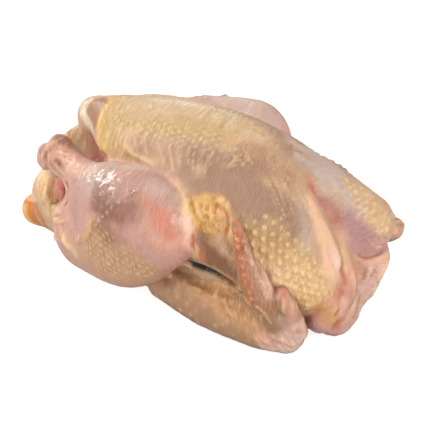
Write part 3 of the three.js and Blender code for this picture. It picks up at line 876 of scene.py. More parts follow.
@dataclass(frozen=True)
class Legs:
    """The thighs with the drumsticks folded back along them, and the hock's knobs at their ends."""

    near: Group = Group(2.5, (
        Limb(((-51, -36, 42.5, 28.5, 24.5), (-19.5, -46, 52, 32.5, 26.5), (8, -49, 69, 25, 24.5))),
        Limb(((-1, -49, 81.5, 22.5, 24.5), (-17.5, -48, 81.5, 23.5, 24), (-41, -41.5, 80.5, 17.5, 17.5),
              (-58, -35, 83, 11.5, 11.5), (-72, -30, 86.5, 10.5, 10.5)), blend=17.5),
        Limb(((-87, -25.5, 82, 7, 7.5), (-80.5, -27.5, 86, 10.5, 9), (-76.5, -27.5, 92, 8.5, 7.5)), blend=3),
        Limb(((-77.5, -27.5, 96.5, 6, 6), (-75, -27.5, 96, 6, 6)), blend=2.5),
        Limb(((-89.5, -24, 84.5, 7, 6), (-88, -28, 81.5, 7, 6)), blend=2.5),
    ))
    far: Group = Group(3.5, (
        Limb(((-49.5, 36, 42, 29, 24), (-17.5, 46, 51, 33.5, 26.5), (19.5, 52, 68.5, 31, 25.5))),
        Limb(((21, 54.5, 80, 27.5, 24.5), (-12.5, 49.5, 80, 25.5, 24), (-40.5, 42, 77.5, 18.5, 17.5),
              (-58, 35, 75.5, 12, 11.5), (-72, 31, 75, 10.5, 10.5)), blend=17.5),
        Limb(((-86, 27.5, 68, 7, 7.5), (-80.5, 28, 74, 10.5, 9), (-76.5, 28, 80, 8.5, 7.5)), blend=3),
        Limb(((-77.5, 28, 84.5, 6, 6), (-75, 28, 84, 6, 6)), blend=2.5),
        Limb(((-88.5, 26, 71, 7, 6), (-87, 30, 68, 7, 6)), blend=2.5),
    ))

    SKIN: ClassVar[Patches] = (
        # the thigh and the drumstick
        Patch(((-44, -57, 91, 12), (-23, -63, 99, 18), (-3, -62, 102, 20), (13, -60, 99, 16)), 24,
              Tint.MAUVE, 1.0, crepe=0.3),
        Patch(((-48, -58, 82, 5), (-48, -60, 72, 6), (-43, -64, 62, 5)), 10, Tint.MAUVE, 0.8, crepe=0.4),
        Patch(((-41, -43, 99, 6), (-38, -54, 97, 6), (-35, -62, 93, 5)), 12, Tint.LILAC, 0.8),
        Patch(((-26, -68, 91, 5), (-18, -70, 92, 8), (-8, -71, 93, 10), (3, -69, 96, 7)), 18, Tint.BRUISE),
        Patch(((-42, -67, 47, 8), (-31, -70, 45, 10), (-16, -72, 44, 12), (1, -67, 40, 12),
              (12, -55, 37, 8)), 16, Tint.BEIGE),
        Patch(((-11, -50, 105, 5), (1, -50, 105, 8), (12, -54, 101, 6)), 12, Tint.MAUVE, 0.9),
        Patch(((-45, -41, 98, 5), (-34, -44, 101, 5), (-23, -47, 104, 4), (-8, -42, 104, 3)), 8, Tint.LILAC,
              0.9, crepe=0.5),
        Patch(((11, -55, 102, 6), (19, -59, 95, 7), (24, -61, 88, 6)), 12, Tint.LILAC, 0.6, pore=0.3),
        Patch(((5, -66, 98, 3), (9, -70, 93, 4), (12, -73, 86, 4)), 12, Tint.PEACH_FAT, 0.25),
        # follicles low on the thigh, and painted shade over them
        Patch(((-28, -72, 74, 7), (-30, -71, 58, 10), (-19, -74, 64, 13), (-18, -73, 48, 10),
              (-7, -74, 56, 14), (7, -70, 51, 9)), 10, Tint.BEIGE, 1.0, pore=0.8, crepe=0.3, lumpy=0.3),
        Patch(((-21, -74, 80, 6), (-13, -76, 75, 8)), 10, Tint.DUSK, 0.5),
        # the red knee and its pale rim
        Patch(((7, -76, 78, 5), (18, -73, 67, 7), (27, -64, 63, 6)), 12, Tint.PINK, 0.6),
        Patch(((12, -65, 96, 6), (18, -67, 90, 10), (23, -67, 81, 7)), 16, Tint.RED, 0.55),
        Patch(((13, -67, 94, 4), (17, -69, 88, 7), (22, -68, 82, 6)), 14, Tint.RED, 0.65),
        Patch(((14, -74, 81, 1.5), (19, -72, 77, 2), (24, -69, 74, 2), (27, -65, 76, 2), (28, -61, 81, 1.5)),
              9, Tint.PEACH, 0.45),
        Patch(((13, -41, 104, 2), (20, -45, 98, 3), (26, -50, 91, 4), (29, -53, 84, 4)), 7, Tint.PALE_FAT),
        Patch(((29, -57, 83, 4), (31, -57, 76, 4), (32, -56, 68, 3)), 6, Tint.WRIST),
        Patch(((33, -55, 75, 3), (34, -55, 70, 3.5), (36, -56, 63, 4)), 4, Tint.EMBER),
        # the hock
        Patch(((-74, -32, 100, 8), (-78, -35, 95, 10), (-68, -37, 94, 8)), 6, Tint.HOCK, 1.0, crepe=0.7,
              lumpy=0.3),
        Patch(((-76, -30, 102, 5), (-71, -29, 100, 3)), 5, Tint.BRUISE),
        Patch(((-88, -32, 91, 4.5),), 5, Tint.BRUISE, 0.7),
        Patch(((-69, -41, 90, 4), (-76, -40, 88, 2)), 6, Tint.BRUISE, 0.7),
        Patch(((-63, -39, 93, 4), (-54, -44, 94, 5), (-44, -50, 96, 3)), 6, Tint.WRIST, 0.7, lumpy=0.5,
              crepe=0.7),
        # moisture
        Patch(((-36, -60, 94, 7), (-28, -60, 99, 10), (-17, -62, 101, 11), (-7, -63, 101, 6)), 14, wet=0.85,
              pore=0.2, lumpy=0.6),
        Patch(((17, -55, 98, 4), (23, -58, 91, 5), (25, -63, 84, 4)), 8, wet=0.35, pore=0.3),
    )

    VENT_SIDE: ClassVar[Patches] = (
        Patch(((-60, -58, 50, 2.5), (-54, -61, 46, 3.5), (-48, -64, 43, 3.5)), 4, Tint.PALE_FAT, 0.65),
        Patch(((-54, -60, 36, 4), (-46, -57, 24, 4)), 8, Tint.BEIGE, 0.8),
        # painted shade in the dark gap beside the thigh
        Patch(((-62, -46, 82, 1), (-58, -51, 81, 1.2), (-59, -51, 74, 1.4), (-62, -49, 66, 1)), 1.5,
              Tint.DUSK, 0.9),
        Patch(((-45, -64, 54, 1), (-37, -68, 54, 1.5)), 3, Tint.PEACH_FAT, 0.4),
    )

    FAR_KNEE: ClassVar[Patch] = Patch(((0, 50, 107, 8), (22, 49, 108, 12), (37, 50, 102, 10)), 10,
                                      Tint.LILAC, 0.6)

    FOLDS: ClassVar[Folds] = (
        # skin rolled back at the hock
        Fold(((-73, -25, 101), (-77, -33, 100), (-83, -34, 94), (-85, -35, 88), (-85, -35, 82),
             (-103, -8, 58)), 1.6, 1.4),
        Fold(((-81, -35, 94), (-79, -38, 89), (-75, -39, 82), (-66, -44, 83)), 1.2, 1.3),
        Fold(((-76, -39, 90), (-69, -42, 87), (-61, -46, 86)), 1.0, 1.2),
        Fold(((-74, -39, 92), (-68, -42, 89)), -1.5, 2.5),
        Pleats(((-76, -33, 99), (-70, -34, 96), (-65, -33, 96)),
               ((-77, -38, 92), (-68, -40, 92), (-60, -42, 92)), 5, 1.33, 1.3, 31),
        Pleats(((-67, -38, 94), (-63, -39, 93)), ((-56, -47, 91), (-49, -49, 94)), 6, 1.14, 1.3, 32),
        # faint lines over the drumstick
        Pleats(((-42, -51, 97), (-41, -46, 99), (-38, -40, 99)),
               ((-18, -63, 101), (-14, -55, 104), (-9, -46, 105)), 6, 0.57, 1.3, 33),
        # the drumstick's broad edge
        Fold(((11, -40, 106), (19, -45, 99), (26, -50, 91), (30, -54, 82), (34, -55, 70)), 1.2, 3.5),
        Pleats(((31, -59, 74), (32, -56, 64), (34, -56, 57)),
               ((35, -55, 73), (37, -56, 65), (37, -56, 58)), 5, 0.95, 1.3, 34),
        # the lower edge of the thigh skin
        Fold(((-44, -65, 51), (-39, -67, 56), (-33, -70, 62), (-29, -71, 72), (-25, -72, 82)), 1.0, 1.2,
             Shape.STEP),
        Pleats(((-46, -64, 56), (-44, -65, 52)), ((-42, -65, 60), (-39, -67, 57)), 3, 1.6, 1.3, 35),
        Pleats(((-25, -72, 78), (-23, -73, 76)), ((-3, -61, 102), (-1, -62, 101)), 9, 1.52, 1.3, 36),
    )

    FAR_KNEE_EDGE: ClassVar[Fold] = Fold(((5, 60, 107), (4, 51, 108), (1, 46, 107)), 0.8, 1.6, Shape.STEP)

    def patches(self) -> dict[Part, Patches]:
        """Gives the colours of the legs.

        Returns:
            The patches of each leg, in the order in which they are laid on.
        """
        return {
            Part.NEAR_LEG: (*self.SKIN, *self.VENT_SIDE),
            Part.FAR_LEG: (*mirrored(self.SKIN), self.FAR_KNEE),
        }

    def folds(self) -> Folds:
        """The folds of both legs, and the far knee's own."""
        return (*self.FOLDS, *mirrored(self.FOLDS), self.FAR_KNEE_EDGE)


@dataclass(frozen=True)
class Wings:
    """Upper arm, forearm, hand and, on the near side, the thumb of each folded wing, and the shoulders."""

    near: Group = Group(2.5, (
        Limb(((86, -37, 40.5, 17.5, 16), (48.5, -44, 33.5, 13, 11.5), (12.5, -46.5, 28, 12.5, 10.5))),
        Limb(((7, -46.5, 26.5, 11.5, 10.5), (35, -50, 21, 14, 10.5), (70.5, -51, 16.5, 14, 10.5),
              (91.5, -47.5, 13.5, 11, 10.5)), blend=2.5),
        Limb(((92.5, -47.5, 16, 11.5, 9), (83.5, -57, 37, 12, 5.5), (72, -60, 61.5, 8, 4.5),
              (59.5, -53.5, 92, 2.5, 2.5)), Facing.LONG, 2.5),
        Limb(((99, -50, 22, 7, 6), (98, -57, 40, 6, 4.5), (92, -59.5, 56, 2.5, 2.5)), Facing.LONG, 2.5),
    ))
    far: Group = Group(2.5, (
        Limb(((86, 37, 40.5, 17.5, 16), (48.5, 46, 33.5, 13, 11.5), (17.5, 50, 28, 12.5, 10.5))),
        Limb(((12.5, 51, 26.5, 11.5, 10.5), (44, 55.5, 23, 14, 10.5), (88, 57, 28, 13, 9.5),
              (124, 53, 41.5, 7, 7)), blend=2.5),
        Limb(((121.5, 53, 38.5, 8, 7), (100.5, 59, 47.5, 9.5, 5.5), (81, 59, 58, 8, 4.5),
              (65, 55.5, 68.5, 3.5, 2.5)), Facing.LONG, 2.5),
    ))
    shoulders: Group = Group(12.5, (
        Limb(((82.5, -30, 54.5, 28, 23), (95, -29, 46, 23, 16.5))),
        Limb(((86, 28, 61, 28, 24), (112, 30, 54.5, 21, 18))),
    ))

    SKIN: ClassVar[Patches] = (
        # the forearm and the wrist
        Patch(((13, -57, 33, 16), (39, -59, 28, 18), (66, -61, 23, 18)), 10, Tint.WING, crepe=0.15,
              lumpy=0.35, pimple=0.1),
        # painted shade at the elbow
        Patch(((14, -64, 46, 5), (14, -56, 35, 6)), 8, Tint.DUSK, 0.95),
        Patch(((15, -53, 40, 2.5), (18, -46, 41, 3), (27, -47, 43, 3), (40, -55, 48, 3.5),
              (47, -49, 40, 3.5), (56, -50, 38, 3.5), (71, -62, 44, 3)), 4, Tint.ORANGE, 1.0, pore=0.6,
              lumpy=0.4),
        Patch(((16, -56, 16, 5), (38, -58, 10, 6), (63, -58, 6, 6)), 10, Tint.MUSCLE, 0.7),
        Patch(((87, -59, 14, 6), (94, -58, 15, 8), (100, -56, 20, 8), (104, -57, 30, 6)), 7, Tint.WRIST,
              wet=0.9, pimple=0.4),
        Patch(((26, -54, 37, 4), (41, -55, 35, 6), (59, -56, 30, 8), (75, -59, 25, 6)), 9, Tint.ORANGE, 0.6,
              lumpy=0.7, pore=0.2),
        # painted shade under the forearm's upper edge, and in the groove by the hand
        Patch(((20, -55, 37, 3), (29, -54, 37, 3), (39, -54, 36, 2.5)), 7, Tint.DUSK, 0.45),
        Patch(((55, -50, 38, 2), (59, -50, 37, 2)), 3, Tint.DUSK, 0.7),
        Patch(((103, -57, 29, 2),), 3, Tint.RED, 0.7),
        Patch(((79, -61, 17, 4), (87, -59, 16, 4)), 6, Tint.BLUSH, 0.9),
        # the hand
        Patch(((64, -57, 87, 5), (73, -62, 71, 7), (84, -64, 50, 9)), 6, Tint.HAND, crepe=0.7),
        Patch(((69, -60, 77, 2), (77, -63, 65, 3), (85, -63, 52, 4)), 4, Tint.LILAC, 0.2),
        Patch(((60, -54, 94, 2), (63, -57, 88, 2)), 4, Tint.EMBER, 0.6),
        Patch(((61, -57, 88, 2), (64, -60, 78, 2.5), (69, -64, 64, 2.5), (75, -64, 48, 2.5)), 2.5,
              Tint.EMBER, 0.8),
        Patch(((69, -51, 77, 1.5), (76, -54, 69, 2.5), (82, -60, 62, 3), (87, -62, 53, 3)), 4, Tint.WRIST,
              0.6),
        # the thumb
        Patch(((94, -61, 58, 3), (97, -62, 50, 4), (100, -61, 42, 4)), 5, Tint.BLUSH, 0.9),
        Patch(((92, -60, 59, 2), (94, -61, 55, 2)), 3, Tint.RED, 0.7),
        Patch(((93, -61, 37, 4), (97, -60, 33, 4)), 5, Tint.WRIST, 0.3),
        # painted shadow in the gap above the forearm
        Patch(((24, -59, 52, 1), (25, -47, 42, 1.5), (40, -56, 50, 1.5)), 3, Tint.SHADOW, 0.9),
    )

    FAR_KNOB: ClassVar[Patches] = (
        Patch(((130, 33, 60, 6), (127, 46, 42, 5)), 4, Tint.HOCK),
        Patch(((127, 46, 45, 2),), 3, Tint.PEACH_FAT, 0.8),
    )

    FOLDS: ClassVar[Folds] = (
        # the forearm's upper edge
        Fold(((22, -46, 42), (31, -47, 42), (40, -49, 40), (52, -49, 40), (63, -50, 37), (77, -64, 45)), 1.0,
             2.4),
        # wrinkles across the forearm
        Pleats(((51, -53, 35), (57, -58, 29), (64, -60, 24)),
               ((82, -64, 45), (81, -60, 30), (84, -59, 19)), 7, 1.0, 1.3, 52),
        # grooves and ridges of the hand
        Fold(((62, -55, 92), (66, -59, 82), (71, -62, 71), (77, -64, 59), (82, -64, 50)), -0.5, 1.2),
        Fold(((64, -49, 85), (71, -52, 75), (78, -57, 66), (85, -60, 57), (90, -62, 48)), 1.0, 1.4),
        Pleats(((64, -58, 86), (67, -58, 83)), ((82, -64, 56), (86, -63, 51)), 12, 0.95, 1.3, 53),
        # feather stubs along its edge
        Pleats(((60, -57, 88), (62, -57, 89)), ((74, -64, 47), (77, -65, 50)), 9, 1.6, 1.3, 54),
        Fold(((75, -64, 45), (81, -64, 43), (85, -63, 38), (88, -61, 30)), 1.3, 1.3),
        # the thumb
        Pleats(((93, -61, 58), (94, -62, 49), (94, -61, 38)),
               ((97, -52, 48), (101, -58, 48), (103, -59, 42)), 5, 0.8, 1.3, 55),
        Fold(((92, -61, 58), (91, -61, 51), (92, -61, 43)), 1.0, 1.2),
        Pleats(((84, -59, 22), (86, -59, 20)), ((101, -55, 18), (99, -56, 14)), 6, 1.52, 1.4, 56),
    )

    def patches(self) -> dict[Part, Patches]:
        """The colours of the wings."""
        return {Part.NEAR_WING: self.SKIN, Part.FAR_WING: (*mirrored(self.SKIN), *self.FAR_KNOB)}

    def folds(self) -> Folds:
        """The wrinkles and ridges of both wings."""
        return (*self.FOLDS, *mirrored(self.FOLDS))


@dataclass(frozen=True)
class Hollows:
    """What is taken out of the meat, and what sinks in between the breast and the folded limbs."""

    body_cavity: Limb = Limb(
        ((-109, 1.5, 86, 21, 12.5), (-81, 2, 72, 24, 22), (-53, 0, 67, 24.5, 23), (-13, 0, 58, 19.5, 19.5)),
        Facing.SIDE, 7)
    near_slit: Limb = Limb(
        ((-66, -12, 86.5, 11, 8), (-52, -24, 91.5, 7.5, 6), (-41.5, -33, 96, 4, 4)), blend=4)
    vent: Limb = Limb(
        ((-90, -21, 53.5, 11.5, 4.5), (-77.5, -17.5, 56.5, 12.5, 5.5), (-61.5, -9, 65, 12.5, 9)), blend=3.5)
    wishbone_notch: Limb = Limb(
        ((93.5, 1, 104.5, 6, 7), (103, -2, 87, 9, 9), (113.5, -3, 67.5, 10.5, 10.5),
         (125, -2, 48, 10.5, 11.5)), blend=8)
    near_wing_gap: Limb = Limb(
        ((12.5, -48.5, 46, 5.5, 4.5), (39.5, -53, 41.5, 5.5, 4.5), (67, -54.5, 38, 4.5, 4.5)), blend=3.5)
    far_wing_gap: Limb = Limb(
        ((17.5, 51, 46, 5.5, 4.5), (44, 56.5, 41.5, 5.5, 4.5), (70.5, 56.5, 40.5, 4.5, 4.5)), blend=3.5)


@dataclass(frozen=True)
class Flaps:
    """Loose skin, fat and meat that hang in front of the hollows."""

    neck_root: Group = Group(7, (
        Limb(((95, 2, 40.5, 23, 17.5), (104, -2, 28, 19.5, 13), (101, -9, 15, 15, 10.5)), Facing.SIDE),
        Limb(((104, -7, 54.5, 8, 7), (113.5, -14, 38.5, 9, 7), (111, -24, 23, 8, 7)), blend=5.5),
    ))
    neck_flap: Group = Group(3.5, (
        Limb(((116, 21, 51, 11.5, 7), (121, 9, 43, 14, 6), (114, -7, 23.5, 12, 6), (110, -17, 11, 12, 6.5),
              (97, -25, 12, 7, 5.5)), Facing.LONG),
    ))
    neck_fat: Group = Group(2, (
        Limb(((111, -29, 31.5, 10.5, 8), (106.5, -30, 19.5, 9.5, 9))),
    ))
    vent_meat: Group = Group(1.5, (
        Limb(((-80, -16, 64, 6, 4), (-83, -19, 54, 7, 4.5), (-80, -20, 46, 4, 4))),
        Limb(((-90, -15, 50, 5, 4), (-91, -18, 44, 4, 4)), blend=1.5),
    ))

    SKIN: ClassVar[Patches] = (
        # the inner fold and the neck's root
        Patch(((116, -18, 53, 3), (119, -19, 46, 3), (119, -21, 32, 3)), 4, Tint.BLUSH, 0.8),
        Patch(((107, -37, 35, 4), (114, -37, 31, 6), (118, -33, 25, 5)), 4, Tint.ORANGE),
        Patch(((115, -23, 13, 4), (121, -21, 12, 4)), 4, Tint.EMBER, 0.8),
        Patch(((120, 9, 51, 5), (127, 12, 52, 6), (132, 17, 51, 5)), 5, Tint.PLUM, 0.9),
        Patch(((118, -22, 32, 3), (118, -17, 19, 4)), 5, Tint.WRIST, 0.85),
        Patch(((102, -37, 22, 4), (108, -39, 17, 5), (116, -27, 8, 4)), 5, Tint.PLUM, 0.9),
        Patch(((116, -22, 43, 1.5), (116, -24, 33, 1.5), (119, -33, 32, 1.5)), 3, Tint.RED, 0.7),
        # the hanging flap
        Patch(((127, 2, 43, 6), (127, -5, 32, 7), (125, -11, 19, 7), (122, -20, 12, 6)), 6, Tint.FLAP,
              crepe=0.5, wet=0.8),
        # a pale painted highlight where the flap is wettest
        Patch(((127, -7, 27, 3), (126, -8, 21, 3)), 4, Tint.WRIST, 0.7, wet=1.0),
        Patch(((120, -21, 13, 3), (124, -13, 15, 3)), 4, Tint.BLUSH, 0.6),
    )

    FOLDS: ClassVar[Folds] = (
        # the hanging flap
        Pleats(((119, 3, 45), (120, -5, 37), (120, -12, 26), (122, -17, 16)),
               ((134, 12, 47), (133, 4, 40), (130, -3, 30), (125, -11, 19)), 9, 1.1, 1.2, 61),
        # the inner fold
        Fold(((116, -9, 52), (121, -16, 44), (119, -13, 26), (120, -18, 16), (116, -23, 13)), 2.0, 2.6),
        Fold(((115, -22, 44), (116, -23, 34), (119, -33, 31), (117, -34, 25)), -2.0, 1.6),
        Fold(((134, 13, 48), (133, 2, 39), (128, -5, 27), (125, -12, 16), (123, -18, 9)), 1.2, 1.4),
        Pleats(((121, 16, 65), (126, 18, 57), (131, 20, 52)),
               ((118, 12, 59), (124, 12, 53), (130, 11, 51)), 4, 0.6, 1.3, 62),
        Fold(((127, 28, 68), (128, 35, 63), (128, 53, 47), (130, 50, 42), (127, 50, 35)), 1.2, 1.4),
    )

    def patches(self) -> dict[Part, Patches]:
        """The colours of the neck skin."""
        return {Part.NECK: self.SKIN}

    def folds(self) -> Folds:
        """The folds of the neck skin."""
        return self.FOLDS


@dataclass(frozen=True)
class Crease:
    """A line pressed into the skin."""

    path: tuple[Point, ...]
    depth: float
    width: float

    def sink(self, nodes: Array, points: Array) -> Array:
        """How far the crease sinks the skin: deepest on its path, in a V with hollow sides."""
        distance, _, _ = beside_chain(nodes, points)
        return self.depth * np.maximum(1.0 - distance / self.width, 0.0) ** 2


@dataclass
class Bird:
    """The whole bird as a field: negative inside, and about the distance to its skin elsewhere."""

    torso: Torso = field(default_factory=Torso)
    legs: Legs = field(default_factory=Legs)
    wings: Wings = field(default_factory=Wings)
    hollows: Hollows = field(default_factory=Hollows)
    flaps: Flaps = field(default_factory=Flaps)
    front_crease: Crease = Crease(
        ((109, -22, 66), (115, -25, 56.5), (116.5, -25, 46), (117, -26, 36), (116, -27, 26), (113, -27, 16)),
        5, 7)
    floor_edge: float = 3.0             # rounding where the flat underside ends
    deepest: float = 12.0               # creases are felt this far from the skin
    border: Row = (2.0, 0.3)            # how far apart two parts' distances are where colours change over
    cavity_border: Row = (1.6, 0.4)     # and how far off the cavity its own colour begins and is full
    cavity_from: Row = (-95.0, -82.0)   # where the cavity's wall turns from fat to meat, along X
    cavity_wet: float = 0.6             # how moist that meat is

    SETTLE_ROUNDS = 8
    PROBE = 0.5                         # the length over which a slope is measured
    FLATTEST = 0.05                     # least square of a slope

    BARE = (
        (Part.TORSO, Tint.SIDE, Mask.CREPE, 0.3),
        (Part.NEAR_LEG, Tint.PINK, Mask.CREPE, 0.2),
        (Part.FAR_LEG, Tint.PINK, Mask.CREPE, 0.2),
        (Part.NEAR_WING, Tint.WING, Mask.CREPE, 0.5),
        (Part.FAR_WING, Tint.WING, Mask.CREPE, 0.5),
        (Part.NECK, Tint.BLUSH, Mask.CREPE, 0.3),
        (Part.VENT_MEAT, Tint.RED, Mask.WET, 0.5),
    )

    def __post_init__(self) -> None:
        """Lays the front crease on the skin."""
        self.crease_nodes = self.settle(np.array(self.front_crease.path, float))

    def groups(self) -> tuple[Group, ...]:
        """Lists the groups that melt onto the breast.

        Returns:
            The groups, in the order in which they are joined.
        """
        torso, legs, wings = self.torso, self.legs, self.wings
        return (torso.back, torso.rump, torso.keel_tip, torso.far_rim, legs.near, legs.far, wings.near,
                wings.far, wings.shoulders)

    def body(self, points: Array) -> Array:
        """The field without its crease and its floor.

        Args:
            points: rows of three.

        Returns:
            One distance for each point, negative inside.
        """
        d = self.torso.breast.distance(points)
        for group in self.groups():
            d = join(d, group.distance(points), group.blend)
        for hollow in vars(self.hollows).values():
            d = carve(d, hollow.distance(points), hollow.blend)
        for flap in vars(self.flaps).values():
            d = join(d, flap.distance(points), flap.blend)
        return d

    def distance(self, points: Array) -> Array:
        """The field of the whole bird, with its crease and its flat underside.

        Args:
            points: rows of three.

        Returns:
            One distance for each point, negative inside.
        """
        d = self.body(points)
        near = np.abs(d) < self.deepest
        d[near] += self.front_crease.sink(self.crease_nodes, points[near])
        return carve(d, points[:, 2], self.floor_edge)

    def shares(self, points: Array) -> dict[Part, Array]:
        """How much each part has of each point, with soft borders where two parts meet.

        Args:
            points: the skin's points.

        Returns:
            A share from 0 to 1 for each point, by part.
        """
        torso, legs, wings, hollows, flaps = self.torso, self.legs, self.wings, self.hollows, self.flaps
        shapes = {
            Part.TORSO: (torso.breast, torso.back, torso.rump, torso.keel_tip, torso.far_rim,
                         wings.shoulders),
            Part.NEAR_LEG: (legs.near,),
            Part.FAR_LEG: (legs.far,),
            Part.NEAR_WING: (wings.near,),
            Part.FAR_WING: (wings.far,),
            Part.NECK: (flaps.neck_root, flaps.neck_flap, flaps.neck_fat),
            Part.VENT_MEAT: (flaps.vent_meat,),
            Part.CAVITY: (hollows.body_cavity, hollows.near_slit),
        }
        off = {part: np.min([s.distance(points) for s in made], axis=0) for part, made in shapes.items()}
        hollow = off.pop(Part.CAVITY)
        nearest = np.min(list(off.values()), axis=0)
        shares = {part: ease(*self.border, d - nearest) for part, d in off.items()}
        meat = ease(*self.cavity_border, hollow) * ease(*self.cavity_from, points[:, 0])
        shares[Part.CAVITY] = meat * (1.0 - shares[Part.VENT_MEAT])
        return shares

    def paint(self, skin: "Skin") -> None:
        """Lays every part's colours on the skin.

        Args:
            skin: the skin that takes them.
        """
        for part, tint, mask, value in self.BARE:
            skin.cover(part, tint, mask, value)
        for assembly in (self.torso, self.legs, self.wings, self.flaps):
            for part, patches in assembly.patches().items():
                for patch in patches:
                    skin.paint(part, patch)
        skin.cover(Part.CAVITY, Tint.GUT, Mask.WET, self.cavity_wet)
        skin.masks[Mask.CREPE] *= skin.off_pole

    def folds(self) -> list[Fold]:
        """Every part's folds, one by one."""
        assemblies = (self.torso, self.legs, self.wings, self.flaps)
        return [fold for assembly in assemblies for made in assembly.folds() for fold in made.folds()]

    def settle(self, points: Array) -> Array:
        """Moves points onto the skin, by steps along the field's slope.

        Args:
            points: rows of three, near the skin.

        Returns:
            The points on the skin.
        """
        settled = points.copy()
        for _ in range(self.SETTLE_ROUNDS):
            settled -= step_off(self.body, settled, self.PROBE, self.FLATTEST)
        return settled


# ---- the mesh --------------------------------------------------------------------------------------


@dataclass
class SkinMesh:
    """A closed quad mesh on the field's zero surface, found on a grid and then settled on the surface."""

    step: float = 1.35                        # spacing of the grid
    low: Point = (-140.0, -84.0, -5.0)        # the sampled box
    high: Point = (144.0, 88.0, 132.0)
    block: int = 4                            # grid steps in a block, sampled once where it is far off
    block_reach: float = 1.5                  # a block is far off at more of its lengths than this
    settle_rounds: int = 2
    probe: float = 0.4                        # the length over which a slope is measured
    flattest: float = 0.1                     # least square of a slope

    def sample(self, distance: Distance) -> Array:
        """Samples the field on the grid.

        Args:
            distance: the field, negative inside.

        Returns:
            The field on the grid, exact only near the surface.
        """
        low, high = np.array(self.low), np.array(self.high)
        length = self.step * self.block
        blocks = np.ceil((high - low) / length).astype(int)
        middles = np.stack(np.meshgrid(*(np.arange(n) + 0.5 for n in blocks), indexing="ij"), axis=-1)
        coarse = distance(low + middles.reshape(-1, 3) * length).reshape(blocks)
        values = coarse.repeat(self.block, 0).repeat(self.block, 1).repeat(self.block, 2)
        near = np.argwhere(np.abs(values) < length * self.block_reach)
        exact = distance(low + near * self.step)
        exact[exact == 0.0] = TINY
        values[tuple(near.T)] = exact
        return values

    def net(self, values: Array) -> tuple[Array, Array]:
        """The surface net of the sampled field.

        Args:
            values: the field on the grid.

        Returns:
            The vertices, one for each grid cell that the surface crosses, and the quads between them.
        """
        inside = values < 0.0
        total = np.zeros((values.size, 3))
        count = np.zeros(values.size)
        units = np.eye(3, dtype=int)
        crossings = []
        for axis, unit in enumerate(units):
            changes = np.diff(inside, axis=axis)
            at = np.argwhere(changes)
            va, vb = values[tuple(at.T)], values[tuple((at + unit).T)]
            point = at + (va / (va - vb))[:, None] * unit
            second, third = units[(axis + 1) % 3], units[(axis + 2) % 3]
            cells = (at, at - second, at - second - third, at - third)
            flat = [np.ravel_multi_index(tuple(cell.T), values.shape) for cell in cells]
            for cell in flat:
                total += summed(cell, point, values.size)
                count += np.bincount(cell, minlength=values.size)
            quads = np.stack(flat, axis=1)
            inward = va >= 0.0
            quads[inward] = quads[inward][:, ::-1]
            crossings.append(quads)
        used = np.flatnonzero(count)
        place = np.full(values.size, -1)
        place[used] = np.arange(len(used))
        vertices = np.array(self.low) + total[used] / count[used, None] * self.step
        return vertices, place[np.concatenate(crossings)]

    def build(self, distance: Distance) -> tuple[Array, Array]:
        """Finds the surface and settles the mesh on it.

        Args:
            distance: the field, negative inside.

        Returns:
            The vertices and the quads.
        """
        vertices, quads = self.net(self.sample(distance))
        for _ in range(self.settle_rounds):
            move = step_off(distance, vertices, self.probe, self.flattest)
            longest = np.maximum(np.linalg.norm(move, axis=1) / self.step, 1.0)
            vertices = vertices - move / longest[:, None]
        return vertices, quads


def normals_of(vertices: Array, quads: Array) -> Array:
    """Works out the normals of a quad mesh.

    Args:
        vertices: the mesh's points.
        quads: the four vertices of each face.

    Returns:
        One normal for each vertex.
    """
    a, b, c, d = (vertices[quads[:, n]] for n in range(4))
    across = np.cross(c - a, d - b)
    total = sum(summed(quads[:, n], across, len(vertices)) for n in range(4))
    return total / np.maximum(np.linalg.norm(total, axis=1), TINY)[:, None]


def relax(values: Array, quads: Array, rounds: int, amount: float = 0.5) -> Array:
    """Smooths rows of numbers over a quad mesh, each towards the mean of its neighbours.

    Args:
        values: one row for each vertex.
        quads: the four vertices of each face.
        rounds: how often.
        amount: how far each round goes, from 0 to 1.

    Returns:
        The smoothed rows.
    """
    start, end = np.concatenate([quads[:, [n, (n + 1) % 4]] for n in range(4)]).T
    count = np.bincount(start, minlength=len(values)) + np.bincount(end, minlength=len(values))
    smooth = values.astype(float)
    for _ in range(rounds):
        total = summed(start, smooth[end], len(values)) + summed(end, smooth[start], len(values))
        smooth += amount * (total / count[:, None] - smooth)
    return smooth


